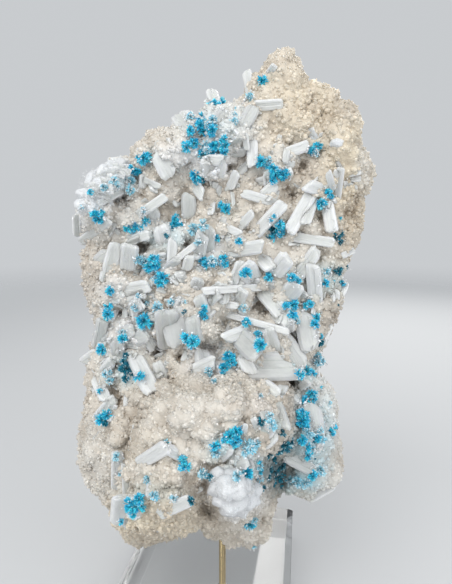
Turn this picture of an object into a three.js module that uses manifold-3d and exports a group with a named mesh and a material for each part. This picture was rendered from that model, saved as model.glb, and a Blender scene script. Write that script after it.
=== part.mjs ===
// A cavansite specimen on its display stand: the rock, a brass rod and a clear acrylic block.
// Millimetres, +Z up. The origin is the middle of the block's underside, and -Y is the show side.

import * as THREE from "three";
import { mergeVertices } from "three/addons/utils/BufferGeometryUtils.js";
import Module from "manifold-3d";

const wasm = await Module();
wasm.setup();

// ---- Stand ----

const BLOCK_WIDTH = 77;
const BLOCK_DEPTH = 127;
const BLOCK_HEIGHT = 20;
const BLOCK_BEVEL = 3;
const BLOCK_SOCKET = 12; // depth of the rod's hole in the block

const ROD_RADIUS = 1.5;
const ROD_X = 8.8;
const ROD_Y = 0;
const ROD_SIDES = 32;
const ROD_TOP = 66;
const SEAT_GAP = 0.3; // clearance round the rod and at both of its ends

// ---- Rock ----

const SLAB_FRONT = 15; // the show face stands this far before the upright plane through the rod
const SLAB_BACK = 25; // and the back this far behind it
const SLAB_LEAN = 7; // the top lies this far behind the foot
const EDGE_ROUNDING = 3; // superellipse exponent of the slab's edge
const EDGE_SHARE = 0.35; // share of a lump's rise that is left on the rim
const EDGE_FADE = 0.4; // fullness above which lumps have all their rise

const ROSETTE_SINK = 0.25; // share of its radius by which a rosette's middle stands out
const BLADE_THICKNESS = 0.5; // of its width
const BLADE_CHISEL = 0.4; // length of a blade's pointed end, of its width
const BLADE_SUNK = 1.6; // depth of a blade's root in the rock
const BLADE_OVERSHOOT = 0.3; // of its half-width, at each end
const BLADE_BEHIND = 0.7; // share of its thickness that lies behind its middle line

// ---- Sighting grid ----

// Places on the show face are read on a grid: a sheet held square to the line of sight of somebody who
// stands before the face. (u, v) are steps to the right and down from the sheet's upper left corner, and a
// feature sits where the sightline through (u, v) meets the rock.

const EYE = new THREE.Vector3(40.1, -187.4, 181.7);
const SIGHT_TURN = THREE.MathUtils.degToRad(9); // to the left of the block's axis
const SIGHT_DROP = THREE.MathUtils.degToRad(9.1); // below the horizon
const GRID_DISTANCE = 192;
const GRID_STEP = 0.4;
const GRID_MIDDLE = [226, 292];
const ROD_DISTANCE = 190; // level distance from the eye to the upright plane through the rod

const AHEAD = new THREE.Vector3(-Math.sin(SIGHT_TURN), Math.cos(SIGHT_TURN), 0);
const RIGHT = new THREE.Vector3(Math.cos(SIGHT_TURN), Math.sin(SIGHT_TURN), 0);
const SIGHT = AHEAD.clone()
  .multiplyScalar(Math.cos(SIGHT_DROP))
  .add(new THREE.Vector3(0, 0, -Math.sin(SIGHT_DROP)));
const UPWARD = new THREE.Vector3().crossVectors(RIGHT, SIGHT);

// From the eye to the grid's place (u, v).
function sightline(u, v) {
  return SIGHT.clone()
    .multiplyScalar(GRID_DISTANCE)
    .addScaledVector(RIGHT, (u - GRID_MIDDLE[0]) * GRID_STEP)
    .addScaledVector(UPWARD, (GRID_MIDDLE[1] - v) * GRID_STEP);
}

// The point on the sightline through (u, v) that lies depth mm before the rod's upright plane.
function place(u, v, depth) {
  const line = sightline(u, v);
  const reach = (ROD_DISTANCE - depth) / line.dot(AHEAD);
  return line.multiplyScalar(reach).add(EYE);
}

// The real length of one grid step at that point.
function stepAt(u, v, depth) {
  return place(u + 1, v, depth).distanceTo(place(u, v, depth));
}

// ---- Form of the rock ----

const ROCK_MIDDLE = [215, 320];
const PEAK_V = 48;
const FOOT_V = 549;

// Rim of the rock as (u, v), clockwise from its peak.
const RIM = [
  [288, 48], [299, 57], [303, 71], [308, 78], [319, 84], [331, 89], [338, 99], [348, 101], [356, 107],
  [360, 120], [359, 138], [368, 155], [376, 166], [371, 182], [365, 194], [364, 212], [361, 234],
  [352, 254], [347, 266], [342, 280], [342, 300], [339, 312], [332, 324], [330, 338], [321, 351],
  [316, 366], [319, 380], [330, 391], [337, 407], [336, 434], [341, 448], [343, 470], [343, 481],
  [330, 491], [312, 502], [298, 496], [284, 492], [276, 496], [272, 512], [270, 530], [265, 543],
  [251, 548], [233, 549], [221, 541], [209, 540], [203, 529], [195, 528], [182, 535], [163, 540],
  [157, 544], [137, 546], [127, 541], [122, 532], [115, 527], [112, 511], [102, 500], [85, 481],
  [79, 465], [79, 450], [76, 438], [78, 428], [85, 421], [83, 410], [86, 390], [86, 368], [90, 352],
  [94, 338], [97, 325], [92, 311], [87, 293], [83, 279], [82, 258], [82, 243], [82, 222], [79, 202],
  [85, 183], [101, 170], [112, 160], [129, 157], [133, 148], [142, 139], [151, 130], [172, 128],
  [180, 117], [197, 116], [206, 104], [226, 104], [236, 102], [246, 90], [254, 74], [263, 72],
  [266, 60], [274, 53],
];

// Lumps and hollows of the show face: u, v, half-width, half-height (steps, where the rise has fallen to
// a half), rise towards the viewer in mm, and steepness of the flank.
const SWELLS = [
  [213, 446, 82, 66, 30, 2.2], // the great lobe at the foot
  [178, 405, 30, 22, 3, 1],
  [247, 408, 24, 20, 4, 1],
  [277, 425, 16, 26, 4, 1],
  [165, 477, 20, 12, -8, 1.5], // hollow under the arched pair of blades
  [233, 495, 22, 23, 9, 2], // round cluster of white crystals
  [206, 507, 10, 9, -11, 1.5],
  [155, 517, 46, 24, 25, 2.2], // left foot
  [136, 428, 8, 28, -6, 1.5], // crease left of the lobe
  [103, 455, 22, 40, 4, 1.5],
  [280, 470, 17, 15, -13, 2], // dark hollow right of the lobe
  [322, 440, 20, 40, 6, 1.5],
  [322, 481, 24, 12, 6, 1.5],
  [294, 386, 7, 11, -11, 1.5],
  [160, 353, 13, 10, -12, 1.5],
  [164, 372, 8, 8, -8, 1.5],
  [208, 344, 10, 8, -9, 1.5],
  [262, 306, 11, 14, -11, 1.5],
  [297, 341, 8, 13, -8, 1.5],
  [224, 322, 12, 10, -5, 1.2],
  [245, 374, 14, 9, -5, 1.2],
  [116, 389, 8, 9, -9, 1.5],
  [121, 312, 10, 7, -8, 1.5],
  [137, 272, 16, 8, -6, 1.5],
  [142, 246, 9, 6, -10, 1.5],
  [178, 322, 24, 18, 7, 1.5],
  [206, 334, 13, 10, 4, 1.5],
  [268, 352, 30, 26, 5, 1.5],
  [205, 296, 22, 16, 3, 1],
  [100, 192, 26, 30, 12, 2], // crystal-covered knob, upper left
  [118, 199, 10, 7, -8, 1.5],
  [128, 210, 14, 12, 4, 1],
  [163, 148, 30, 17, 7, 1.5], // ridge along the upper left edge
  [212, 128, 32, 24, 9, 1.5],
  [213, 166, 16, 12, 4, 1.5],
  [232, 172, 13, 6, -9, 1.5],
  [166, 210, 30, 14, -7, 1.2], // valley below the ridge
  [212, 196, 26, 16, -4, 1.2],
  [285, 63, 18, 14, 5, 1.5], // peak
  [303, 116, 20, 16, 4, 1.5],
  [345, 124, 17, 24, 6, 1.5],
  [319, 116, 6, 9, -6, 1.5],
  [347, 165, 20, 16, 3, 1],
  [301, 172, 13, 12, -5, 1.5],
  [290, 192, 11, 9, -5, 1.5],
  [350, 215, 16, 40, -5, 1],
  [318, 216, 7, 8, -6, 1.5],
  [259, 181, 8, 9, -4, 1.2],
];

// Lumps and hollows of the back, read through the rock on the same grid. A rise is away from the viewer.
const BACK_SWELLS = [
  [250, 150, 60, 40, 6, 2],
  [160, 230, 46, 50, 8, 2],
  [272, 262, 44, 34, -5, 1.5],
  [212, 352, 66, 36, 9, 2.5],
  [125, 330, 20, 30, -6, 1.5],
  [170, 460, 50, 40, 6, 2],
  [290, 440, 32, 34, 8, 2],
  [236, 470, 20, 30, -4, 1.5],
  [318, 130, 24, 26, -6, 1.5],
  [205, 190, 20, 16, -5, 1.5],
];

// Undulation of the whole surface: turn per step along u and along v, phase, and height in mm.
const WAVES = [
  [0.11, 0.05, 0.4, 0.8],
  [-0.07, 0.12, 1.9, 0.8],
  [0.21, -0.16, 4.1, 0.5],
  [0.17, 0.24, 2.2, 0.5],
  [0.33, 0.08, 5.0, 0.35],
  [-0.12, 0.36, 0.7, 0.35],
];

const GRAIN = 0.45; // how far a corner of the rock strays from its place, mm

const rimTurns = RIM.map(([u, v]) => ({
  turn: Math.atan2(ROCK_MIDDLE[1] - v, u - ROCK_MIDDLE[0]),
  radius: Math.hypot(u - ROCK_MIDDLE[0], v - ROCK_MIDDLE[1]),
})).sort((a, b) => a.turn - b.turn);

// Distance, in steps, from the rock's middle to its rim in the direction turn.
function rimRadius(turn) {
  const count = rimTurns.length;
  let after = rimTurns.findIndex((corner) => corner.turn > turn);
  if (after < 0) after = 0;
  const a = rimTurns[(after + count - 1) % count];
  const b = rimTurns[after];
  const wrap = (angle) => THREE.MathUtils.euclideanModulo(angle, 2 * Math.PI);
  const share = wrap(turn - a.turn) / wrap(b.turn - a.turn);
  return THREE.MathUtils.lerp(a.radius, b.radius, share);
}

// Sum of the bumps in a list at (u, v): each is rise * exp(-ln 2 * r^(2 * steepness)).
function swell(list, u, v) {
  let sum = 0;
  for (const [bumpU, bumpV, halfWidth, halfHeight, rise, steepness] of list) {
    const r2 = ((u - bumpU) / halfWidth) ** 2 + ((v - bumpV) / halfHeight) ** 2;
    sum += rise * Math.exp(-Math.LN2 * r2 ** steepness);
  }
  return sum;
}

function undulation(u, v) {
  let sum = 0;
  for (const [alongU, alongV, phase, height] of WAVES) {
    sum += height * Math.sin(alongU * u + alongV * v + phase);
  }
  return sum;
}

// How full the slab is, from 1 in its middle to 0 on the rim, at the share rho of the rim's radius.
function fullness(rho) {
  return Math.max(0, 1 - rho ** EDGE_ROUNDING) ** (1 / EDGE_ROUNDING);
}

function lean(v) {
  return -SLAB_LEAN * THREE.MathUtils.clamp((FOOT_V - v) / (FOOT_V - PEAK_V), 0, 1);
}

// Depth of the show face, on the rim and inside it. Lumps keep only a share of their rise on the rim.
function faceDepth(u, v, full) {
  const fade = Math.min(1, full / EDGE_FADE);
  const lumps = swell(SWELLS, u, v) * (EDGE_SHARE + (1 - EDGE_SHARE) * fade);
  return lean(v) + SLAB_FRONT * full + lumps + undulation(u, v) * fade;
}

// How far the back lies straight behind the rim's own depth.
function backDepth(u, v, full) {
  const fade = Math.min(1, full / EDGE_FADE);
  return SLAB_BACK * full + (swell(BACK_SWELLS, u, v) + undulation(v, u)) * fade;
}

// ---- Crystals ----

// Stilbite blades: root u, v, tip u, v, width (steps), and how far the tip stands off the rock (mm).
const BLADES = [
  [187, 128, 181, 112, 12, 3],
  [216, 108, 210, 90, 9, 1],
  [251, 92, 247, 71, 9, 1],
  [252, 106, 283, 104, 10, 3],
  [242, 130, 256, 106, 15, 2],
  [252, 139, 252, 166, 9, 3],
  [313, 147, 313, 131, 11, 3],
  [158, 151, 170, 177, 15, 3],
  [128, 165, 106, 169, 13, 3],
  [104, 199, 81, 205, 14, 4],
  [90, 220, 73, 217, 10, 2],
  [132, 219, 166, 196, 8, 4],
  [106, 222, 81, 242, 9, 2],
  [106, 281, 117, 243, 13, 4],
  [117, 243, 149, 235, 8, 4],
  [127, 269, 130, 245, 18, 2],
  [166, 246, 160, 226, 16, 3],
  [213, 179, 214, 158, 20, 3],
  [191, 181, 203, 196, 12, 4],
  [189, 218, 189, 194, 14, 2],
  [252, 237, 284, 203, 13, 6],
  [237, 230, 253, 212, 8, 4],
  [208, 256, 208, 226, 14, 5],
  [198, 259, 203, 233, 11, 4],
  [226, 252, 263, 246, 14, 5],
  [257, 254, 272, 269, 14, 3],
  [285, 236, 313, 190, 14, 6],
  [306, 225, 313, 204, 10, 4],
  [331, 234, 328, 199, 11, 4],
  [337, 200, 341, 168, 7, 4],
  [296, 238, 334, 243, 9, 3],
  [98, 263, 109, 254, 14, 2],
  [122, 291, 149, 286, 13, 3],
  [126, 312, 141, 303, 13, 3],
  [97, 348, 103, 320, 11, 3],
  [118, 359, 119, 340, 14, 3],
  [98, 352, 83, 362, 10, 1],
  [143, 329, 154, 348, 10, 4],
  [169, 347, 166, 311, 20, 3],
  [194, 291, 199, 279, 13, 3],
  [230, 290, 241, 261, 9, 4],
  [258, 290, 246, 265, 18, 5],
  [207, 319, 198, 296, 11, 4],
  [261, 291, 283, 309, 18, 4],
  [291, 329, 229, 314, 6, 6],
  [261, 325, 224, 339, 13, 6],
  [277, 354, 268, 329, 12, 4],
  [240, 340, 262, 368, 19, 4],
  [205, 373, 202, 350, 16, 3],
  [296, 279, 317, 250, 14, 5],
  [316, 304, 313, 264, 14, 5],
  [274, 275, 288, 257, 17, 4],
  [284, 299, 297, 284, 16, 4],
  [303, 311, 311, 350, 17, 4],
  [281, 338, 303, 368, 18, 4],
  [338, 297, 344, 282, 11, 2],
  [95, 376, 107, 401, 11, 3],
  [97, 419, 115, 398, 11, 3],
  [133, 353, 152, 393, 19, 5],
  [139, 464, 167, 447, 11, 4],
  [190, 461, 165, 447, 11, 4],
  [252, 367, 289, 373, 19, 4],
  [218, 459, 231, 446, 13, 3],
  [314, 437, 313, 405, 16, 3],
  [283, 449, 305, 469, 16, 3],
  [117, 489, 118, 452, 11, 3],
  [124, 523, 121, 500, 20, 2],
  [160, 514, 188, 501, 8, 3],
  [309, 498, 334, 484, 10, 2],
];

// Round clusters of white crystals: u, v, radius (steps).
const WHITE_BALLS = [
  [224, 482, 13], [234, 498, 17], [250, 492, 12], [221, 499, 10], [240, 509, 10],
];

// Cavansite rosettes: u, v, width (steps).
const ROSETTES = [
  [262, 81, 9], [215, 104, 12], [237, 112, 10], [205, 122, 15], [190, 131, 9], [191, 145, 11],
  [212, 148, 15], [224, 144, 12], [144, 158, 12], [115, 181, 10], [130, 186, 10],
  [97, 217, 13], [131, 227, 12], [144, 223, 10], [176, 222, 14], [197, 177, 12], [316, 148, 11],
  [263, 162, 11], [276, 173, 14], [224, 208, 12], [193, 229, 10], [280, 226, 11], [274, 234, 12],
  [329, 195, 10], [321, 204, 10], [338, 237, 13], [140, 261, 10], [154, 262, 14], [161, 280, 15],
  [205, 263, 11], [224, 261, 11], [246, 274, 10], [269, 277, 10], [294, 280, 10], [110, 306, 10],
  [108, 314, 10], [144, 321, 12], [123, 338, 10], [102, 350, 10], [126, 367, 13], [139, 376, 10],
  [204, 313, 11], [247, 322, 9], [261, 345, 11], [190, 340, 14], [230, 359, 12], [224, 371, 11],
  [291, 306, 12], [294, 317, 10], [316, 321, 11], [326, 272, 10], [339, 271, 10], [328, 283, 11],
  [320, 340, 10], [319, 359, 12], [304, 373, 13], [313, 396, 10], [303, 418, 13], [331, 429, 11],
  [307, 436, 11], [262, 422, 9], [104, 418, 14], [117, 457, 10], [184, 463, 13], [233, 437, 17],
  [216, 448, 13], [250, 447, 11], [247, 474, 13], [270, 476, 12], [281, 468, 13], [315, 475, 12],
  [134, 505, 18], [249, 523, 12],
];

// ---- Making solids ----

// A closed geometry as a manifold solid, its shared corners merged.
function solid(geometry) {
  const bare = geometry.clone();
  bare.deleteAttribute("normal");
  bare.deleteAttribute("uv");
  const merged = mergeVertices(bare, 1e-4);
  return new wasm.Manifold(
    new wasm.Mesh({
      numProp: 3,
      vertProperties: merged.getAttribute("position").array,
      triVerts: new Uint32Array(merged.index.array),
    }),
  );
}

// A manifold solid as a mesh with its own material.
function mesh(name, body, look) {
  const { vertProperties, triVerts } = body.getMesh();
  const geometry = new THREE.BufferGeometry();
  geometry.setAttribute("position", new THREE.BufferAttribute(vertProperties, 3));
  geometry.setIndex(new THREE.BufferAttribute(triVerts, 1));
  geometry.computeVertexNormals();
  const piece = new THREE.Mesh(geometry, new THREE.MeshStandardMaterial({ flatShading: true, ...look }));
  piece.name = name;
  return piece;
}

// An upright round bar between two heights on the rod's axis.
function bar(radius, from, to) {
  const geometry = new THREE.CylinderGeometry(radius, radius, to - from, ROD_SIDES);
  geometry.rotateX(Math.PI / 2);
  geometry.translate(ROD_X, ROD_Y, (from + to) / 2);
  return geometry;
}

// A number from -1 to 1 that looks random but is fixed by its key.
function stray(key) {
  const value = Math.sin(key * 12.9898) * 43758.5453;
  return 2 * (value - Math.floor(value)) - 1;
}

const ACROSS = 14; // divisions of the slab's faces across, up, and of its edge from front to back
const UPRIGHT = 24;
const THROUGH = 5;
const FACE_SHARE = 0.93; // the faces reach to this share of the rim's radius, and the edge band does the rest
const CORNER_TURN = THREE.MathUtils.degToRad(57); // direction of the face grid's corners from the middle

// The slab: a divided box whose corners are moved onto the rock. Squares round the middle of each face
// become rings at the same share of the rim's radius, and the four sides become the rounded edge.
function slab() {
  const box = new THREE.BoxGeometry(2, 2, 2, ACROSS, UPRIGHT, THROUGH);
  box.deleteAttribute("normal");
  box.deleteAttribute("uv");
  const geometry = mergeVertices(box, 1e-4);
  const points = geometry.getAttribute("position");
  const edgeFullness = fullness(FACE_SHARE);
  for (let i = 0; i < points.count; i += 1) {
    const x = points.getX(i);
    const y = points.getY(i);
    const z = points.getZ(i);
    const square = Math.max(Math.abs(x), Math.abs(y));
    const onBand = Math.abs(z) < 1 - 1e-6;
    const full = onBand ? edgeFullness * Math.abs(z) : fullness(FACE_SHARE * square);
    const rho = onBand ? (1 - full ** EDGE_ROUNDING) ** (1 / EDGE_ROUNDING) : FACE_SHARE * square;
    const turn = gridTurn(x, y);
    const radius = rho * rimRadius(turn);
    const u = ROCK_MIDDLE[0] + radius * Math.cos(turn);
    const v = ROCK_MIDDLE[1] - radius * Math.sin(turn);
    const grain = GRAIN * stray(i + 1);
    const point = z > 0 ? place(u, v, faceDepth(u, v, full) + grain) : place(u, v, faceDepth(u, v, 0));
    if (z <= 0) point.addScaledVector(AHEAD, backDepth(u, v, full) + grain);
    points.setXYZ(i, point.x, point.y, point.z);
  }
  return solid(geometry);
}

// Direction from the rock's middle that belongs to (x, y) on the box's face.
function gridTurn(x, y) {
  if (x === 0 && y === 0) return 0;
  const beside = Math.abs(x) >= Math.abs(y);
  const fromSide = beside
    ? CORNER_TURN * (Math.abs(y) / Math.abs(x))
    : Math.PI / 2 - (Math.PI / 2 - CORNER_TURN) * (Math.abs(x) / Math.abs(y));
  const turn = x < 0 ? Math.PI - fromSide : fromSide;
  return y < 0 ? -turn : turn;
}

// The point where the sightline through (u, v) meets the slab, moved lift mm towards the eye. Beside the
// slab it is the point level with the rim.
function onFace(u, v, lift) {
  const line = sightline(u, v).normalize();
  const hit = new THREE.Raycaster(EYE, line).intersectObject(slabMesh)[0];
  const point = hit ? hit.point : place(u, v, faceDepth(u, v, 0));
  return point.addScaledVector(line, -lift);
}

// A stilbite blade: a flat six-sided tablet with chisel ends, its root sunk in the rock.
function blade([rootU, rootV, tipU, tipV, width, stand]) {
  const root = onFace(rootU, rootV, -BLADE_SUNK);
  const tip = onFace(tipU, tipV, stand);
  const middle = root.clone().lerp(tip, 0.5);
  const step = stepAt((rootU + tipU) / 2, (rootV + tipV) / 2, SLAB_FRONT);
  const half = (width * step) / 2;
  const length = root.distanceTo(tip) / 2 + half * BLADE_OVERSHOOT;
  const chisel = 2 * half * BLADE_CHISEL;
  const thickness = 2 * half * BLADE_THICKNESS;

  const outline = new THREE.Shape([
    new THREE.Vector2(-length, 0),
    new THREE.Vector2(-length + chisel, -half),
    new THREE.Vector2(length - chisel, -half),
    new THREE.Vector2(length, 0),
    new THREE.Vector2(length - chisel, half),
    new THREE.Vector2(-length + chisel, half),
  ]);
  const geometry = new THREE.ExtrudeGeometry(outline, { depth: thickness, bevelEnabled: false });
  geometry.translate(0, 0, -thickness * BLADE_BEHIND);

  const along = tip.clone().sub(root).normalize();
  const sideways = new THREE.Vector3().crossVectors(EYE.clone().sub(middle), along).normalize();
  const outward = new THREE.Vector3().crossVectors(along, sideways);
  geometry.applyMatrix4(new THREE.Matrix4().makeBasis(along, sideways, outward).setPosition(middle));
  return solid(geometry);
}

// A cavansite rosette or a round white cluster: a faceted ball, its middle a little out of the rock.
function ball(u, v, width, key) {
  const radius = (width * stepAt(u, v, SLAB_FRONT)) / 2;
  const geometry = new THREE.IcosahedronGeometry(radius, 0);
  geometry.rotateX(3 * stray(key));
  geometry.rotateZ(3 * stray(key + 0.5));
  const middle = onFace(u, v, radius * ROSETTE_SINK);
  geometry.translate(middle.x, middle.y, middle.z);
  return solid(geometry);
}

// ---- The pieces ----

const slabSolid = slab();
const slabMesh = mesh("slab", slabSolid, {});

function specimen() {
  let rock = slabSolid;
  for (const row of BLADES) {
    rock = rock.add(blade(row));
  }
  for (const [u, v, radius] of WHITE_BALLS) {
    rock = rock.add(ball(u, v, 2 * radius, u));
  }
  for (const [u, v, width] of ROSETTES) {
    rock = rock.add(ball(u, v, width, u + v));
  }
  return rock.subtract(solid(bar(ROD_RADIUS + SEAT_GAP, 0, ROD_TOP + SEAT_GAP)));
}

// The block: a box whose four upper edges are bevelled, drilled for the rod.
function block() {
  const wall = BLOCK_HEIGHT - BLOCK_BEVEL;
  const topHalf = [BLOCK_WIDTH / 2 - BLOCK_BEVEL, BLOCK_DEPTH / 2 - BLOCK_BEVEL];
  const geometry = new THREE.BoxGeometry(BLOCK_WIDTH, BLOCK_DEPTH, BLOCK_HEIGHT, 1, 1, 2);
  geometry.translate(0, 0, BLOCK_HEIGHT / 2);
  const points = geometry.getAttribute("position");
  for (let i = 0; i < points.count; i += 1) {
    const z = points.getZ(i);
    if (z > BLOCK_HEIGHT - 1e-3) {
      points.setX(i, Math.sign(points.getX(i)) * topHalf[0]);
      points.setY(i, Math.sign(points.getY(i)) * topHalf[1]);
    } else if (z > 1e-3) {
      points.setZ(i, wall);
    }
  }
  const socket = bar(ROD_RADIUS + SEAT_GAP, BLOCK_HEIGHT - BLOCK_SOCKET, BLOCK_HEIGHT + BLOCK_SOCKET);
  return solid(geometry).subtract(solid(socket));
}

function rod() {
  return solid(bar(ROD_RADIUS, BLOCK_HEIGHT - BLOCK_SOCKET + SEAT_GAP, ROD_TOP));
}

const cavansite = new THREE.Group();
cavansite.add(
  mesh("cavansite_specimen", specimen(), { color: 0xd3c8b6, roughness: 0.85, metalness: 0 }),
  mesh("rod", rod(), { color: 0xc9a24d, roughness: 0.25, metalness: 1 }),
  mesh("base", block(), { color: 0xf2f5f6, roughness: 0.05, metalness: 0, transparent: true, opacity: 0.3 }),
);

export default cavansite;
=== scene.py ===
"""A cavansite specimen: blue rosettes and white stilbite blades on a sugary slab of rock, held up on a brass
rod in a clear acrylic block. Lists and working sizes are in millimetres, and become metres in new_piece."""

import math

import bpy
import numpy as np
from mathutils.bvhtree import BVHTree
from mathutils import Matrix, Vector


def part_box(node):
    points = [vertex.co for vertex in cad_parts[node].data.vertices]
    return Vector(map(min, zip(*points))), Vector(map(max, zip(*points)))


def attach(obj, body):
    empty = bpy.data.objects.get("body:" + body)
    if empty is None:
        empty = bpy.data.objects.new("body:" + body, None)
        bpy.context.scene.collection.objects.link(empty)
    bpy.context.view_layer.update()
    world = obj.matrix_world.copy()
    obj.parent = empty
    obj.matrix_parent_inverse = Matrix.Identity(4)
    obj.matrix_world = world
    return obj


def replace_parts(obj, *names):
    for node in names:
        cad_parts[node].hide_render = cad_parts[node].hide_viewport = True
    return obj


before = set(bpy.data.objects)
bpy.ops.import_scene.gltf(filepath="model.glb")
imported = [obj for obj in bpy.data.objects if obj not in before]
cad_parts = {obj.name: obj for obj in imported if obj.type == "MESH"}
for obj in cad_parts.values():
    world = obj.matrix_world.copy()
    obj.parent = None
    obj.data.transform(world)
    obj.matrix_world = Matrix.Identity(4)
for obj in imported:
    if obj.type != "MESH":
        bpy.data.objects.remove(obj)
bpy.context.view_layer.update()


# ---- The rock ------------------------------------------------------------------------------------------
# A leaning slab of crust, torn from the wall of a gas hollow in basalt. It is lumps of cream and beige
# zeolite, sugary all over, with a great lobe and a foot standing out at its lower end. The back is the
# broken side, rougher, browner and duller.

# Places on the show face are read on a grid: a sheet held square to the line of sight of somebody who
# stands before the face. (u, v) are steps to the right and down from the sheet's upper left corner, and a
# feature sits where the sightline through (u, v) meets the rock.
# The eye, how far its sight turns left and drops, the sheet's distance, step and middle, and the distance of
# the rod's upright plane. Lengths are in mm and the middle is in steps.
EYE = np.array([40.1, -187.4, 181.7])
SIGHT_TURN = math.radians(9)
SIGHT_DROP = math.radians(9.1)
GRID_DISTANCE = 192
GRID_STEP = 0.4
GRID_MIDDLE = (226, 292)
ROD_DISTANCE = 190
AHEAD = np.array([-math.sin(SIGHT_TURN), math.cos(SIGHT_TURN), 0])
RIGHT = np.array([math.cos(SIGHT_TURN), math.sin(SIGHT_TURN), 0])
SIGHT = AHEAD * math.cos(SIGHT_DROP) - np.array([0, 0, math.sin(SIGHT_DROP)])
UPWARD = np.cross(RIGHT, SIGHT)

# The rock's middle, and how far down the grid its peak and its foot lie.
ROCK_MIDDLE = (215, 320)
PEAK_V = 48
FOOT_V = 549
# The rock's outline from its peak round by the right: u, v.
RIM = np.array([
    [288, 48], [299, 57], [303, 71], [308, 78], [319, 84], [331, 89], [338, 99], [348, 101], [356, 107],
    [360, 120], [359, 138], [368, 154], [374, 166], [371, 182], [365, 194], [364, 212], [361, 234],
    [352, 254], [347, 266], [342, 280], [342, 300], [339, 312], [332, 324], [330, 338], [321, 351],
    [316, 366], [319, 380], [330, 391], [337, 407], [336, 434], [341, 448], [343, 470], [343, 481],
    [330, 491], [312, 502], [298, 496], [284, 492], [276, 496], [272, 512], [270, 530], [265, 543],
    [251, 548], [233, 549], [221, 541], [209, 540], [203, 529], [195, 528], [182, 535], [163, 540],
    [157, 544], [137, 546], [127, 541], [122, 532], [115, 527], [112, 511], [102, 500], [85, 481],
    [79, 465], [79, 450], [76, 438], [78, 428], [85, 421], [83, 410], [86, 390], [86, 368], [90, 352],
    [94, 338], [97, 325], [92, 311], [87, 293], [83, 279], [82, 258], [82, 243], [82, 222], [79, 202],
    [85, 183], [101, 170], [112, 160], [129, 157], [133, 148], [142, 139], [151, 130], [172, 128],
    [180, 117], [197, 116], [206, 104], [226, 104], [236, 102], [246, 90], [254, 74], [263, 72],
    [266, 60], [274, 53],
])

# The rim's corners are where the knobs end; the slab under them is smaller by this many steps.
RIM_INSET = 3

# Lumps and hollows of the show face: u, v, half-width, half-height, rise in mm, steepness of the flank. The
# first is the lobe itself.
SWELLS = [
    [213, 446, 82, 66, 30, 2.2], [178, 405, 30, 22, 3, 1], [247, 408, 24, 20, 4, 1],
    [277, 425, 16, 26, 4, 1], [152, 475, 28, 10, 8, 1.5], [233, 495, 22, 23, 9, 2],
    [232, 494, 14, 15, 5, 1.5], [206, 507, 10, 9, -11, 1.5], [155, 517, 46, 24, 25, 2.2],
    [129, 448, 6, 14, -6, 1.2], [133, 426, 6, 12, -7, 1.2], [141, 408, 6, 9, -6, 1.2],
    [155, 393, 8, 7, -5, 1.2], [176, 380, 12, 6, -5, 1.2], [206, 374, 16, 5, -5, 1.2],
    [160, 489, 34, 9, 7, 1.5], [103, 455, 22, 40, 4, 1.5], [280, 470, 17, 15, -13, 2],
    [322, 440, 20, 40, 6, 1.5], [322, 481, 24, 12, 6, 1.5], [296, 424, 5, 16, -6, 1.5],
    [294, 386, 6, 9, -7, 1.5], [158, 350, 12, 9, -8, 1.5], [164, 374, 7, 6, -6, 1.5],
    [208, 344, 10, 8, -6, 1.5], [262, 306, 11, 14, -11, 1.5], [297, 341, 8, 13, -8, 1.5],
    [224, 322, 12, 10, -5, 1.2], [245, 374, 14, 9, -5, 1.2], [114, 388, 6, 7, -6, 1.5],
    [121, 312, 10, 7, -8, 1.5], [137, 272, 16, 8, -6, 1.5], [142, 246, 9, 6, -10, 1.5],
    [178, 322, 24, 18, 7, 1.5], [206, 334, 13, 10, 4, 1.5], [268, 352, 30, 26, 5, 1.5],
    [205, 296, 22, 16, 3, 1], [98, 196, 26, 30, 12, 2], [118, 199, 10, 7, -8, 1.5],
    [128, 210, 14, 12, 4, 1], [163, 148, 30, 17, 7, 1.5], [212, 128, 32, 24, 9, 1.5],
    [213, 166, 16, 12, 4, 1.5], [230, 168, 10, 5, -4, 1.5], [172, 214, 24, 12, -4, 1.2],
    [212, 196, 26, 16, -2, 1.2], [286, 66, 14, 20, 3, 1.3], [303, 116, 20, 16, 4, 1.5],
    [345, 124, 17, 24, 6, 1.5], [319, 116, 6, 9, -6, 1.5], [349, 165, 20, 18, 5, 1],
    [301, 170, 8, 8, -3, 1.5], [290, 192, 9, 8, -3, 1.5], [350, 215, 16, 40, -5, 1],
    [318, 216, 7, 8, -6, 1.5], [259, 181, 8, 8, -1, 1.2],
]
# Small dark pits of the show face: u, v, half-width, half-height, depth in mm.
PITS = [
    [203, 138, 3, 5, 3], [212, 184, 4, 4, 4], [209, 169, 3, 3, 3], [229, 168, 6, 3, 3],
    [244, 104, 3, 4, 2], [284, 188, 4, 4, 3], [292, 196, 4, 4, 2], [252, 196, 6, 5, 2],
    [300, 233, 5, 4, 4], [218, 214, 4, 4, 3], [233, 254, 5, 4, 3], [188, 244, 5, 4, 3],
    [121, 255, 5, 4, 3], [131, 289, 5, 3, 3], [164, 300, 5, 4, 4], [196, 306, 4, 4, 3],
    [238, 298, 6, 3, 3], [246, 333, 5, 4, 4], [300, 294, 4, 3, 4], [322, 297, 3, 4, 4],
    [311, 358, 4, 4, 4], [289, 381, 6, 4, 4], [196, 368, 5, 5, 4], [152, 340, 5, 4, 4],
    [180, 358, 5, 4, 4], [131, 346, 5, 4, 4], [112, 368, 5, 4, 3], [120, 400, 4, 5, 3],
    [241, 420, 5, 4, 3], [229, 463, 6, 4, 4], [331, 293, 4, 7, 4], [299, 172, 3, 3, 2],
    [118, 200, 7, 4, 5], [207, 485, 5, 6, 5], [258, 486, 5, 4, 4], [262, 518, 4, 5, 3],
    [300, 460, 4, 4, 4],
]
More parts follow.
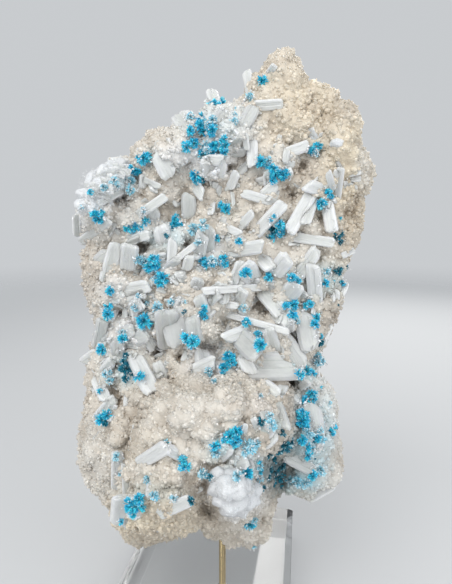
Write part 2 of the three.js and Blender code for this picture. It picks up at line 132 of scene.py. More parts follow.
# Lumps and hollows of the back, read through the rock on the same grid. A rise is away from the viewer.
BACK_SWELLS = [
    [250, 150, 60, 40, 6, 2], [160, 230, 46, 50, 8, 2], [272, 262, 44, 34, -5, 1.5],
    [212, 352, 66, 36, 9, 2.5], [125, 330, 20, 30, -6, 1.5], [170, 460, 50, 40, 6, 2],
    [290, 440, 32, 34, 8, 2], [236, 470, 20, 30, -4, 1.5], [318, 130, 24, 26, -6, 1.5],
    [205, 190, 20, 16, -5, 1.5],
]
# Undulation of the whole surface: turn per step along u and along v, phase, and height in mm.
WAVES = [
    [0.11, 0.05, 0.4, 0.8], [-0.07, 0.12, 1.9, 0.8], [0.21, -0.16, 4.1, 0.5], [0.17, 0.24, 2.2, 0.5],
    [0.33, 0.08, 5.0, 0.35], [-0.12, 0.36, 0.7, 0.35],
]
# Steepness of the flank of every pit and of every zone.
PIT_STEEPNESS = 1.2
ZONE_STEEPNESS = 1.5

# The slab before and behind its rim, and how far its peak leans back, in mm.
SLAB_FRONT = 15
SLAB_BACK = 25
SLAB_LEAN = 7
EDGE_ROUNDING = 3
# At the rim a lump keeps this share of its rise; it is whole where the slab is this full.
EDGE_SHARE = 0.35
EDGE_FADE = 0.4
# The divided box whose faces reach to this share of the rim's radius, its corners turned this far up.
FACE_SHARE = 0.93
CORNER_TURN = math.radians(57)
SLAB_DIVISIONS = (100, 170, 30)
# On the box, z runs from 1 before to -1 behind: where the side and the broken back begin.
ASIDE_FROM = 0.6
BEHIND_FROM = -0.55
BEHIND_FADE = 0.4

# Relief of the crust: size of the lumps in mm, their height in mm and the steepness of their flanks.
BIG_LUMPS = (8.5, 1.6, 1.6)
MIDDLING_LUMPS = (4.0, 1.6, 1.7)
SMALL_LUMPS = (2.2, 0.25, 1.8)
# How far the big lumps' outlines sway, how high a slow swelling goes, and how much the crust and the whole
# rock are lowered so that the relief stays about the slab's surface, in mm.
LUMP_SWAY = 1.2
SLOW_SWELLING = 0.6
CRUST_LOWERED = 0.7
ROCK_LOWERED = 0.5
# Between the lumps, a crease begins this far from their middles, in lump sizes.
CREASE_FROM = 0.55
CREASE_SHARPNESS = 2.4
# Relief of the broken back: size and height of the chips in mm, and the height of the grain on them.
BIG_CHIPS = (15, 4.5)
SMALL_CHIPS = (6, 3)
CHIP_GRAIN = 0.5

# Where the crust is white or milky, because stilbite powders it, where it is browner, yellower or greyer,
# where a deep hollow is painted dark as shade, and where fine cavansite tints it blue. Some white and milky
# zones are painted light, lifting crust that lies in shade, and many brown and grey ones are painted shade,
# on flanks, along the lobe's edges and under it. Each row is u, v, half-width, half-height and strength.
WHITE_AND_LIT_ZONES = [
    [205, 135, 40, 34, 0.9], [105, 205, 34, 40, 1.0], [200, 250, 80, 45, 0.4], [290, 250, 50, 40, 0.4],
    [240, 320, 80, 60, 0.5], [130, 330, 45, 50, 0.6], [322, 430, 18, 60, 0.9], [248, 505, 20, 40, 0.5],
    [205, 430, 50, 45, 0.5], [95, 465, 18, 44, 0.6], [325, 482, 22, 18, 0.7], [168, 158, 34, 14, 0.7],
    [364, 170, 9, 26, 0.7], [268, 176, 14, 12, 1.0], [248, 172, 14, 10, 0.6], [172, 188, 18, 12, 0.5],
    [185, 168, 14, 12, 0.7], [112, 215, 14, 20, 0.7], [286, 156, 20, 12, 0.6], [150, 468, 24, 8, 0.3],
    [108, 350, 14, 50, 0.7],
]
MILKY_AND_LIT_ZONES = [
    [92, 190, 18, 20, 1.0], [112, 172, 20, 12, 1.0], [110, 186, 16, 14, 0.9], [78, 222, 9, 12, 1.0],
    [222, 116, 20, 12, 0.5], [240, 130, 12, 16, 0.4], [214, 168, 14, 12, 1.0], [190, 155, 14, 7, 0.8],
    [222, 484, 15, 13, 1.0], [240, 496, 18, 14, 1.0], [233, 508, 9, 9, 1.0], [206, 352, 16, 10, 0.6],
    [242, 458, 14, 9, 0.6], [165, 235, 26, 12, 0.5], [206, 250, 20, 12, 0.6], [155, 268, 16, 14, 0.6],
    [132, 334, 20, 16, 0.7], [312, 430, 20, 46, 0.5], [210, 368, 22, 10, 0.7], [196, 158, 44, 12, 0.6],
    [214, 136, 14, 8, 0.7], [115, 290, 12, 12, 0.5],
]
BROWN_AND_SHADE_ZONES = [
    [98, 275, 14, 26, 0.35], [130, 440, 5, 14, 0.5], [137, 414, 6, 9, 0.4], [192, 371, 30, 5, 0.3],
    [354, 226, 9, 26, 0.15], [331, 320, 11, 24, 1.0], [290, 415, 14, 26, 0.9], [345, 104, 12, 14, 0.5],
    [214, 464, 10, 7, 0.8], [301, 172, 12, 9, 0.8], [262, 432, 24, 14, 0.9], [180, 489, 18, 8, 0.7],
    [168, 512, 22, 10, 0.5], [272, 490, 14, 10, 0.8], [150, 535, 24, 8, 0.5], [206, 487, 6, 8, 0.7],
    [210, 514, 16, 12, 0.8], [180, 212, 18, 8, 0.5], [333, 436, 7, 14, 0.8], [336, 215, 8, 16, 0.2],
]
YELLOW_ZONES = [
    [350, 180, 26, 70, 1.0], [155, 520, 50, 22, 0.9], [310, 100, 50, 50, 0.7], [150, 450, 30, 20, 0.2],
]
DEEP_SHADE_ZONES = [
    [275, 472, 16, 18, 1.0], [289, 448, 12, 9, 0.7], [288, 470, 12, 8, 0.7], [294, 386, 5, 9, 0.4],
    [296, 424, 5, 14, 0.5],
]
BLUE_ZONES = [
    [311, 440, 17, 40, 0.7], [300, 480, 18, 9, 0.9], [304, 374, 14, 9, 0.6], [247, 470, 18, 14, 0.5],
    [222, 448, 14, 10, 0.5], [268, 424, 10, 7, 0.5], [150, 492, 30, 9, 0.2], [165, 240, 26, 10, 0.4],
    [108, 180, 26, 14, 0.45], [216, 125, 28, 18, 0.2], [128, 370, 18, 14, 0.5], [320, 280, 26, 16, 0.4],
]
GREY_AND_SHADE_ZONES = [
    [100, 440, 30, 70, 0.15], [88, 300, 16, 80, 0.5], [320, 485, 34, 20, 0.1], [170, 200, 50, 20, 0.1],
    [259, 410, 11, 12, 0.9],
]

MM = 0.001


def sightline(u, v):
    """From the eye to the grid's place (u, v): ahead to the sheet, then across and up it."""
    across = (u - GRID_MIDDLE[0]) * GRID_STEP
    up = (GRID_MIDDLE[1] - v) * GRID_STEP
    return SIGHT * GRID_DISTANCE + RIGHT * across[:, None] + UPWARD * up[:, None]


def unit(vectors):
    """Vectors brought to length 1."""
    return vectors / np.linalg.norm(vectors, axis=-1, keepdims=True)


def place(u, v, depth):
    """The point on the sightline through (u, v) that lies depth mm before the rod's upright plane."""
    line = sightline(u, v)
    return EYE + line * ((ROD_DISTANCE - depth) / (line @ AHEAD))[:, None]


def rim_radius(turn):
    """Distance in steps from the rock's middle to its rim: read between the rim's corners, by turn, less
    what the knobs and the sugar add."""
    across, up = RIM[:, 0] - ROCK_MIDDLE[0], ROCK_MIDDLE[1] - RIM[:, 1]
    return np.interp(turn, np.arctan2(up, across), np.hypot(across, up), period=2 * np.pi) - RIM_INSET


def swell(rows, u, v):
    """Sum of bumps, each its rise times exp(-ln 2 * r^(2 * steepness)), with r the distance from its middle
    in half-widths and half-heights."""
    total = np.zeros(len(u))
    for bump_u, bump_v, half_width, half_height, rise, steepness in rows:
        r2 = ((u - bump_u) / half_width) ** 2 + ((v - bump_v) / half_height) ** 2
        total += rise * np.exp(-math.log(2) * r2**steepness)
    return total


def zone(rows, u, v):
    """Strength from 0 to 1 of a list of soft-edged zones: the same bumps, the largest of them."""
    strongest = np.zeros(len(u))
    for row in rows:
        strongest = np.maximum(strongest, swell([[*row, ZONE_STEEPNESS]], u, v))
    return strongest


def pit_depth(u, v):
    """Depth of the small pits, in mm."""
    return swell([[*row, PIT_STEEPNESS] for row in PITS], u, v)


def undulation(u, v):
    """Sum of the waves, each its height times sin(turn_u * u + turn_v * v + phase)."""
    total = np.zeros(len(u))
    for turn_u, turn_v, phase, height in WAVES:
        total += height * np.sin(turn_u * u + turn_v * v + phase)
    return total


def fullness(rho):
    """How full the slab is, from 1 in its middle to 0 on the rim: a superellipse of the share rho."""
    return np.clip(1 - rho**EDGE_ROUNDING, 0, 1) ** (1 / EDGE_ROUNDING)


def rim_share(u, v):
    """Where (u, v) lies between the rock's middle, 0, and its rim, 1."""
    across, up = u - ROCK_MIDDLE[0], ROCK_MIDDLE[1] - v
    return np.hypot(across, up) / rim_radius(np.arctan2(up, across))


def face_depth(u, v, full):
    """Depth of the show face: the lean, the slab's front, its lumps, pits and undulation."""
    fade = np.minimum(1, full / EDGE_FADE)
    lean = -SLAB_LEAN * np.clip((FOOT_V - v) / (FOOT_V - PEAK_V), 0, 1)
    lumps = swell(SWELLS, u, v) * (EDGE_SHARE + (1 - EDGE_SHARE) * fade)
    return lean + SLAB_FRONT * full + lumps + (undulation(u, v) - pit_depth(u, v)) * fade


def on_face(u, v, lift):
    """The point where the sightline through (u, v) meets the show face, moved lift mm towards the eye: one
    lift for all or one for each."""
    surface = place(u, v, face_depth(u, v, fullness(rim_share(u, v))))
    return surface - unit(sightline(u, v)) * np.reshape(lift, (-1, 1))


def box_grid(divisions):
    """Corners and quads of a box from -1 to 1 in divided faces: six flat grids, shared corners merged."""
    corners, quads, start = [], [], 0
    for axis in range(3):
        first, second = (axis + 1) % 3, (axis + 2) % 3
        s, t = np.indices((divisions[first] + 1, divisions[second] + 1))
        for side in (0, 1):
            grid = np.empty((s.size, 3), int)
            grid[:, axis] = side * divisions[axis]
            grid[:, first] = s.ravel()
            grid[:, second] = t.ravel()
            number = start + np.arange(s.size).reshape(s.shape)
            around = [number[:-1, :-1], number[1:, :-1], number[1:, 1:], number[:-1, 1:]]
            quad = np.stack(around, -1).reshape(-1, 4)
            corners.append(grid)
            quads.append(quad if side else quad[:, ::-1])
            start += s.size
    merged, inverse = np.unique(np.concatenate(corners), axis=0, return_inverse=True)
    return merged / np.array(divisions) * 2 - 1, inverse.ravel()[np.concatenate(quads)]


def grid_turn(x, y):
    """Direction from the rock's middle for (x, y) on the box's face: even on each side of the box."""
    wide, high = np.abs(x), np.abs(y)
    steep = np.maximum(np.maximum(wide, high), 1e-9)
    beside = CORNER_TURN * high / steep
    above = np.pi / 2 - (np.pi / 2 - CORNER_TURN) * wide / steep
    turn = np.where(wide >= high, beside, above)
    turn = np.where(x < 0, np.pi - turn, turn)
    return np.where(y < 0, -turn, turn)


def lattice_random(cell, seed):
    """Three fixed numbers from 0 to 1 for each lattice cell: the fraction of a large multiple of a sine."""
    mix = np.array([[127.1, 269.5, 113.5], [311.7, 183.3, 271.9], [74.7, 246.1, 124.6]])
    return np.modf(np.abs(np.sin(cell @ mix + seed)) * 43758.5453)[0]


def cells(points, size, seed):
    """Distance, in cell sizes, to the nearest of the seeds strewn one to a lattice cell, with the offset from
    it and its three random numbers."""
    scaled = points / size
    home = np.floor(scaled)
    nearest = np.full(len(points), np.inf)
    offset = np.zeros_like(points)
    label = np.zeros_like(points)
    for step in np.ndindex(3, 3, 3):
        cell = home + np.array(step) - 1
        away = scaled - cell - lattice_random(cell, seed)
        distance = np.linalg.norm(away, axis=1)
        closer = distance < nearest
        nearest = np.where(closer, distance, nearest)
        offset[closer] = away[closer]
        label[closer] = lattice_random(cell, seed + 5)[closer]
    return nearest, offset, label


def soft_noise(points, size, seed):
    """Smooth noise from -1 to 1: random numbers at the corners of a lattice, eased between them."""
    scaled = points / size
    home = np.floor(scaled)
    ease = scaled - home
    ease = ease * ease * (3 - 2 * ease)
    total = np.zeros(len(points))
    for step in np.ndindex(2, 2, 2):
        share = np.prod(np.where(np.array(step), ease, 1 - ease), axis=1)
        total += share * lattice_random(home + np.array(step), seed)[:, 0]
    return total * 2 - 1


def patches(points, rows):
    """Sum of smooth noises, each of its own strength, size in mm and seed."""
    return sum(strength * soft_noise(points, size, seed) for strength, size, seed in rows)


def rounded(distance, height, steepness):
    """Height of round-topped lumps at a distance, in lump sizes, from their middles."""
    return height * (1 - distance**2 * steepness)


def chips(points, size, height, seed):
    """Height of tilted chips: on each, the offset from its middle along a slope of its own."""
    _, offset, label = cells(points, size, seed)
    return height * (offset * (label - 0.5)).sum(1)


def face_normals(points, faces):
    """Unit normals of quads or triangles: the cross product of two diagonals or edges; and their areas."""
    a, b, c = points[faces[:, 0]], points[faces[:, 1]], points[faces[:, 2]]
    cross = np.cross(c - a, points[faces[:, 3]] - b) if faces.shape[1] == 4 else np.cross(b - a, c - a)
    length = np.linalg.norm(cross, axis=1)
    return cross / np.maximum(length, 1e-12)[:, None], length / 2


def point_normals(points, faces):
    """Unit normals at the corners: the area-weighted mean of the faces that meet there."""
    normals, areas = face_normals(points, faces)
    total = np.stack([
        np.bincount(faces.ravel(), np.repeat(normals[:, axis] * areas, faces.shape[1]), len(points))
        for axis in range(3)
    ], -1)
    return total / np.maximum(np.linalg.norm(total, axis=1), 1e-12)[:, None]


def new_piece(name, points, faces, material, slot, smooth=False, **values):
    """A piece of the object from arrays: corners in mm, faces all of one size, and an attribute for each
    named array of values, one colour (4 columns), vector (3) or number to a corner. A smooth one is shaded
    by its area-weighted normals, so that broad faces stay flat and narrow bevels turn softly."""
    mesh = bpy.data.meshes.new(name)
    mesh.vertices.add(len(points))
    mesh.vertices.foreach_set("co", (points * MM).astype(np.float32).ravel())
    mesh.loops.add(faces.size)
    mesh.loops.foreach_set("vertex_index", faces.astype(np.int32).ravel())
    mesh.polygons.add(len(faces))
    mesh.polygons.foreach_set("loop_start", np.arange(0, faces.size, faces.shape[1], dtype=np.int32))
    mesh.polygons.foreach_set("use_smooth", np.full(len(faces), smooth))
    kinds = {1: ("FLOAT", "value"), 3: ("FLOAT_VECTOR", "vector"), 4: ("FLOAT_COLOR", "color")}
    for label, array in values.items():
        kind, field = kinds[1 if array.ndim == 1 else array.shape[1]]
        mesh.attributes.new(label, kind, "POINT").data.foreach_set(field, array.astype(np.float32).ravel())
    mesh.update(calc_edges=True)
    if smooth:
        mesh.normals_split_custom_set_from_vertices(point_normals(points, faces))
    mesh.materials.append(material)
    piece = bpy.data.objects.new(name, mesh)
    bpy.context.scene.collection.objects.link(piece)
    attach(piece, "root")
    return piece


def add_node(tree, kind, inputs=None, **settings):
    """A shader node with its settings, each named input set to a value or joined to a node's output."""
    node = tree.nodes.new(kind)
    for name, value in settings.items():
        setattr(node, name, value)
    for name, value in (inputs or {}).items():
        if isinstance(value, bpy.types.NodeSocket):
            tree.links.new(value, node.inputs[name])
        else:
            node.inputs[name].default_value = value
    return node


def new_material(name, **sockets):
    """A material with a Principled BSDF whose uniform values are set on its own sockets; gives it, its node
    tree and the shader."""
    material = bpy.data.materials.new(name)
    material.use_nodes = True
    tree = material.node_tree
    shader = next(node for node in tree.nodes if node.type == "BSDF_PRINCIPLED")
    for socket, value in sockets.items():
        shader.inputs[socket.replace("_", " ")].default_value = value
    return material, tree, shader


def mix_colours(tree, share, first, second, blend="MIX"):
    """Two colours mixed by a share, or the first blended so far with the second."""
    colours = {0: share, 6: first, 7: second}
    return add_node(tree, "ShaderNodeMix", colours, data_type="RGBA", blend_type=blend).outputs[2]


def object_place(tree):
    """The place on the object, in metres."""
    return add_node(tree, "ShaderNodeTexCoord").outputs["Object"]


def attribute(tree, name):
    """A node that reads one of the piece's named arrays."""
    return add_node(tree, "ShaderNodeAttribute", attribute_name=name)


def noise(tree, where, scale, detail, roughness=0.5):
    """Cloudy noise over a place, about 0.5."""
    sockets = {"Vector": where, "Scale": scale, "Detail": detail, "Roughness": roughness}
    return add_node(tree, "ShaderNodeTexNoise", sockets).outputs["Fac"]


def ramp(tree, value, low, high, first=0.0, last=1.0, **settings):
    """A number that goes from first to last while the value goes from low to high."""
    sockets = {"Value": value, "From Min": low, "From Max": high, "To Min": first, "To Max": last}
    return add_node(tree, "ShaderNodeMapRange", sockets, **settings).outputs[0]


def give_colour(tree, shader, colour, shade):
    """Sets the shader's colour to a colour times a shade."""
    tree.links.new(mix_colours(tree, 1.0, colour, shade, "MULTIPLY"), shader.inputs["Base Color"])


def give_bump(tree, shader, height, strength, depth):
    """Tips the shader's normals as a height map of this depth, in metres, would."""
    bump = add_node(tree, "ShaderNodeBump", {"Strength": strength, "Distance": depth, "Height": height})
    tree.links.new(bump.outputs["Normal"], shader.inputs["Normal"])


def new_group(name, inputs, outputs):
    """An empty node group with named sockets; gives it and its input and output nodes."""
    group = bpy.data.node_groups.new(name, "ShaderNodeTree")
    for label, kind, value in inputs:
        socket = group.interface.new_socket(label, in_out="INPUT", socket_type=kind)
        if value is not None:
            socket.default_value = value
    for label, kind in outputs:
        group.interface.new_socket(label, in_out="OUTPUT", socket_type=kind)
    return group, group.nodes.new("NodeGroupInput"), group.nodes.new("NodeGroupOutput")


def sugar_group():
    """Sugary grain: a mask of fine cells, brighter on some grains, a coarse mottle, and a normal that tips
    each grain."""
    group, given, made = new_group(
        "sugar",
        [
            ("Scale", "NodeSocketFloat", 900.0), ("Strength", "NodeSocketFloat", 0.5),
            ("Depth", "NodeSocketFloat", 0.0004),
        ],
        [("Mask", "NodeSocketFloat"), ("Mottle", "NodeSocketFloat"), ("Normal", "NodeSocketVector")],
    )
    where = object_place(group)
    grains = add_node(group, "ShaderNodeTexVoronoi", {"Vector": where, "Scale": given.outputs["Scale"]})
    tone = add_node(group, "ShaderNodeSeparateColor", {"Color": grains.outputs["Color"]})
    heights = {0: grains.outputs["Distance"], 1: noise(group, where, 1500.0, 3.0)}
    height = add_node(group, "ShaderNodeMath", heights, operation="ADD")
    bump = add_node(
        group,
        "ShaderNodeBump",
        {
            "Strength": given.outputs["Strength"], "Distance": given.outputs["Depth"],
            "Height": height.outputs[0],
        },
        invert=True,
    )
    group.links.new(tone.outputs["Red"], made.inputs["Mask"])
    group.links.new(noise(group, where, 140.0, 5.0, 0.65), made.inputs["Mottle"])
    group.links.new(bump.outputs["Normal"], made.inputs["Normal"])
    return group


SUGAR = sugar_group()
# The white and milky crusts are partly painted light, the grey and brown ones partly painted shade, and the
# hollow and dark ones are painted shade.
CRUST_CREAM = (0.64, 0.59, 0.52, 1)
CRUST_WHITE_AND_LIT = (0.68, 0.67, 0.64, 1)
CRUST_MILKY_AND_LIT = (0.77, 0.785, 0.81, 1)
CRUST_YELLOW = (0.69, 0.61, 0.48, 1)
CRUST_GREY_AND_SHADE = (0.56, 0.52, 0.48, 1)
CRUST_BROWN_AND_SHADE = (0.42, 0.37, 0.31, 1)
PAINTED_HOLLOW_SHADE = (0.33, 0.27, 0.21, 1)
CRUST_DEEP_SHADE = (0.06, 0.12, 0.14, 1)
CRUST_BLUE = (0.36, 0.58, 0.66, 1)
BROKEN_BACK = (0.36, 0.31, 0.25, 1)
# What the blue, milky and dark zones lose round the side, and what the white ones lose there.
SIDE_LOSS = 0.85
SIDE_LOSS_WHITE = 0.5
# Thin patches of crust left on the broken back, and its uneven tone: strength, size in mm, seed. Then where
# the patches begin and how far they hide the brown.
CRUST_LEFT = [(2.2, 17, 3.3), (0.7, 4, 7.2)]
BACK_TONES = [(0.25, 6, 5.5), (0.14, 2.5, 1.9)]
CRUST_LEFT_FROM = 0.15
CRUST_LEFT_HIDES = 0.65
# Painted shade: a pit or a hollow this deep, in mm, is painted quite dark; a crease is painted dark by this
# share; milky stilbite hides this share of that painted shade.
PIT_SHADE_DEPTH = 4
HOLLOW_SHADE_DEPTH = 18
CREASE_SHADE = 0.6
MILKY_HIDES_SHADE = 0.6


def crust_colour(u, v, aside, behind):
    """Colour of the crust at (u, v): cream, turned by the zones towards grey and brown, partly painted shade,
    yellow, white, partly painted light, and, less so round the side, milky, partly painted light, blue and
    the near-black painted shade of the deepest recess; and towards brown broken rock behind."""
    colour = np.tile(np.array(CRUST_CREAM), (len(u), 1))
    ahead = 1 - SIDE_LOSS * aside
    # Grey, brown and the deep shade are partly or wholly painted shade; white and milky partly painted light.
    steps = [
        (zone(GREY_AND_SHADE_ZONES, u, v), CRUST_GREY_AND_SHADE),
        (zone(YELLOW_ZONES, u, v), CRUST_YELLOW),
        (zone(BROWN_AND_SHADE_ZONES, u, v), CRUST_BROWN_AND_SHADE),
        (zone(WHITE_AND_LIT_ZONES, u, v) * (1 - SIDE_LOSS_WHITE * aside), CRUST_WHITE_AND_LIT),
        (zone(MILKY_AND_LIT_ZONES, u, v) * ahead, CRUST_MILKY_AND_LIT),
        (zone(BLUE_ZONES, u, v) * ahead, CRUST_BLUE),
        (zone(DEEP_SHADE_ZONES, u, v) * ahead, CRUST_DEEP_SHADE),
        (behind, BROKEN_BACK),
    ]
    for share, towards in steps:
        colour += share[:, None] * (np.array(towards) - colour)
    return colour


def rock_surface():
    """The rock's corners, quads and grid places, how far aside and behind each corner lies, and its creases.
    A divided box is laid on the rock: squares round the middle of each face become rings at the same share
    of the rim's radius, and the box's four sides become the rounded edge. The surface is then raised along
    its normals, in lumps before and in chips behind."""
    box, quads = box_grid(SLAB_DIVISIONS)
    x, y, z = box.T
    square = np.maximum(np.abs(x), np.abs(y))
    on_band = np.abs(z) < 1 - 1e-6
    full = np.where(on_band, fullness(FACE_SHARE) * np.abs(z), fullness(FACE_SHARE * square))
    rho = np.where(on_band, fullness(full), FACE_SHARE * square)
    turn = grid_turn(x, y)
    radius = rho * rim_radius(turn)
    u = ROCK_MIDDLE[0] + radius * np.cos(turn)
    v = ROCK_MIDDLE[1] - radius * np.sin(turn)
    front = place(u, v, face_depth(u, v, full))
    fade = np.minimum(1, full / EDGE_FADE)
    back_depth = SLAB_BACK * full + (swell(BACK_SWELLS, u, v) + undulation(v, u)) * fade
    back = place(u, v, face_depth(u, v, np.zeros(len(u)))) + AHEAD * back_depth[:, None]
    points = np.where((z > 0)[:, None], front, back)
    aside = np.clip(ASIDE_FROM - z, 0, 1)
    behind = np.clip((BEHIND_FROM - z) / BEHIND_FADE, 0, 1)

    big = cells(points + LUMP_SWAY * soft_noise(points, 5, 3.1)[:, None], BIG_LUMPS[0], 1.3)[0]
    middling = cells(points, MIDDLING_LUMPS[0], 2.9)[0]
    small = cells(points, SMALL_LUMPS[0], 7.7)[0]
    lumps = rounded(big, *BIG_LUMPS[1:]) + rounded(middling, *MIDDLING_LUMPS[1:])
    lumps += rounded(small, *SMALL_LUMPS[1:])
    lumps += SLOW_SWELLING * soft_noise(points, 16, 9.2) - CRUST_LOWERED
    chipped = chips(points, *BIG_CHIPS, 4.4) + chips(points, *SMALL_CHIPS, 8.2)
    chipped += rounded(small, CHIP_GRAIN, 1)
    relief = lumps * (1 - behind) + chipped * behind - ROCK_LOWERED
    crease = np.clip((np.maximum(big, middling) - CREASE_FROM) * CREASE_SHARPNESS, 0, 1)
    points += point_normals(points, quads) * relief[:, None]
    return points, quads, u, v, aside, behind, crease


def rock():
    """The slab, with its colour at each corner and a mask of the shade painted into its hollows, pits and
    creases. Gives what the pieces on it need: corners, quads, grid places, how far aside and behind each
    corner lies, how broken it is, and that mask of painted shade."""
    points, quads, u, v, aside, behind, crease = rock_surface()
    # Painted shade: how dark the pits, the hollows and the creases between the lumps are painted.
    hollows = -np.minimum(0, swell(SWELLS[1:], u, v)) / HOLLOW_SHADE_DEPTH
    hollow = np.clip(pit_depth(u, v) / PIT_SHADE_DEPTH + hollows + CREASE_SHADE * crease, 0, 1) * (1 - behind)
    hollow *= (1 - zone(DEEP_SHADE_ZONES, u, v)) * (1 - MILKY_HIDES_SHADE * zone(MILKY_AND_LIT_ZONES, u, v))

    left = np.clip(patches(points, CRUST_LEFT) - CRUST_LEFT_FROM, 0, 1)
    broken = behind * (1 - CRUST_LEFT_HIDES * left)
    colour = crust_colour(u, v, aside, broken)
    colour[:, :3] *= 1 + (patches(points, BACK_TONES) * behind)[:, None]

    material, tree, shader = new_material(
        "crust", Roughness=0.75, Specular_IOR_Level=0.4, Subsurface_Weight=0.15,
        Subsurface_Radius=(1.0, 0.9, 0.8), Subsurface_Scale=0.001,
    )
    sugar = add_node(tree, "ShaderNodeGroup", {"Scale": 1100.0, "Strength": 0.7}, node_tree=SUGAR)
    mottled = mix_colours(tree, sugar.outputs["Mottle"], (0.76, 0.74, 0.71, 1), (1.1, 1.1, 1.1, 1))
    own = attribute(tree, "crust_colour").outputs["Color"]
    toned = mix_colours(tree, 1.0, own, mottled, "MULTIPLY")
    # Painted shade: the crust is mixed towards a dark brown in its hollows, pits and creases.
    mask = attribute(tree, "hollow").outputs["Fac"]
    tree.links.new(mix_colours(tree, mask, toned, PAINTED_HOLLOW_SHADE), shader.inputs["Base Color"])
    tree.links.new(sugar.outputs["Normal"], shader.inputs["Normal"])
    piece = new_piece(
        "rock", points, quads, material, "matrix", smooth=True, crust_colour=colour, hollow=hollow
    )
    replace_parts(piece, "cavansite_specimen")
    return points, quads, u, v, aside, behind, broken, hollow


ROCK_POINTS, ROCK_QUADS, ROCK_U, ROCK_V, ROCK_ASIDE, ROCK_BEHIND, ROCK_BROKEN, ROCK_PAINTED_SHADE = rock()


# ---- The knobs of the crust ----------------------------------------------------------------------------
# The crust is a close crowd of rounded zeolite knobs, 1 to 3 mm across, biggest on the lobe and towards the
# upper right. They are grown side by side over the front and the edges, with cracks left between them, where
# the rock is painted dark as shade.

# How many places are tried, and the spacing and the radius of the knobs in mm.
KNOB_TRIES = 70000
KNOB_SPACING = 2.35
KNOB_RADIUS = (0.8, 1.65)
# Outside the coarse zones the knobs are this share of their size.
KNOB_FINE = 0.75
# A knob's breadth and height, as shares of its radius, its tilt and the stray of its corners.
KNOB_BREADTH = (0.75, 1)
KNOB_HEIGHT = (0.85, 1.15)
KNOB_TILT = 0.3
KNOB_STRAY = 0.10
# How deep it sits, as a share of its radius, and how much deeper in the smooth zones.
KNOB_SUNK = 0.22
KNOB_SUNK_SMOOTH = 0.28
KNOB_DULLNESS = (0.6, 1)
# Where the knobs run together into a smoother crust, and where they are coarse.
SMOOTH_ZONES = [
    [195, 425, 70, 60, 1.0], [232, 505, 34, 30, 0.7], [290, 70, 22, 26, 0.8], [345, 140, 26, 34, 0.6],
]
COARSE_ZONES = [
    [325, 110, 50, 70, 1.0], [213, 430, 70, 60, 0.8], [350, 210, 20, 60, 0.8], [150, 520, 50, 25, 1.0],
]

# The twelve corners and twenty faces of an icosahedron, which is as round as so few faces can be.
GOLDEN = (1 + math.sqrt(5)) / 2
BALL_SHAPE = np.array([
    [-1, GOLDEN, 0], [1, GOLDEN, 0], [-1, -GOLDEN, 0], [1, -GOLDEN, 0], [0, -1, GOLDEN], [0, 1, GOLDEN],
    [0, -1, -GOLDEN], [0, 1, -GOLDEN], [GOLDEN, 0, -1], [GOLDEN, 0, 1], [-GOLDEN, 0, -1],
    [-GOLDEN, 0, 1],
]) / math.hypot(1, GOLDEN)
BALL_FACES = np.array([
    [0, 11, 5], [0, 5, 1], [0, 1, 7], [0, 7, 10], [0, 10, 11], [1, 5, 9], [5, 11, 4], [11, 10, 2],
    [10, 7, 6], [7, 1, 8], [3, 9, 4], [3, 4, 2], [3, 2, 6], [3, 6, 8], [3, 8, 9], [4, 9, 5], [2, 4, 11],
    [6, 2, 10], [8, 6, 7], [9, 8, 1],
])


def strewn(count, weight, rng):
    """Random places on the rock, as many to each unit of area times weight: for each a corner of the quad
    that it lies on, its point and its normal."""
    normals, areas = face_normals(ROCK_POINTS, ROCK_QUADS)
    mean = weight[ROCK_QUADS].mean(1)
    face = np.searchsorted(np.cumsum(areas * mean), rng.random(count) * (areas * mean).sum())
    s, t = rng.random((2, count, 1))
    a, b, c, d = (ROCK_POINTS[ROCK_QUADS[face, k]] for k in range(4))
    points = (a * (1 - s) + b * s) * (1 - t) + (d * (1 - s) + c * s) * t
    return ROCK_QUADS[face, 0], points, normals[face]


def axes(outward, tilt, rng):
    """Three square directions for each crystal: outward tipped at random by the tilt, and two beside it."""
    axis = unit(outward + tilt * rng.standard_normal(outward.shape))
    side = unit(np.cross(axis, rng.standard_normal(outward.shape)))
    return axis, side, np.cross(axis, side)


def numbered(faces, corners, count):
    """A shape's faces for so many copies, the corners of each copy numbered on from the one before."""
    return (faces[None] + corners * np.arange(count)[:, None, None]).reshape(-1, faces.shape[1])


def copies(shape, faces, points, side, other, axis, size):
    """A small shape set at each point: its corners times size along the three directions, and its faces."""
    frames = np.stack([side, other, axis], 1)
    shape = np.broadcast_to(shape, (len(points), *shape.shape[-2:]))
    corners = points[:, None] + np.einsum("nkj,nj,njx->nkx", shape, size, frames)
    return corners.reshape(-1, 3), numbered(faces, shape.shape[-2], len(points))


# Uneven tone of the crust's crystals: strength, size in mm, seed; their spread one by one; and limits.
CRYSTAL_PATCHES = [(0.12, 7, 6.6), (0.07, 3, 8.1)]
CRYSTAL_SPREAD = 0.05
CRYSTAL_TONES = (0.5, 1.35)
CRYSTAL_DARKEST = 0.02
# How far they take on the brown of the broken back, and the painted shade of the hollows.
CRYSTAL_BROKEN = 0.8
CRYSTAL_PAINTED_SHADE = 0.65


def crystal_colours(corner, points, rng):
    """Colour of each knob or grain: the crust's own, lighter and darker in patches and one by one, and
    darkened in the hollows by painted shade."""
    broken = ROCK_BROKEN[corner] * CRYSTAL_BROKEN
    colour = crust_colour(ROCK_U[corner], ROCK_V[corner], ROCK_ASIDE[corner], broken)
    tone = 1 + patches(points, CRYSTAL_PATCHES) + CRYSTAL_SPREAD * rng.standard_normal(len(points))
    colour *= tone.clip(*CRYSTAL_TONES)[:, None]
    # Painted shade in the hollows, pits and creases, carried over from the rock.
    return colour + CRYSTAL_PAINTED_SHADE * ROCK_PAINTED_SHADE[corner][:, None] * (np.array(PAINTED_HOLLOW_SHADE) - colour)


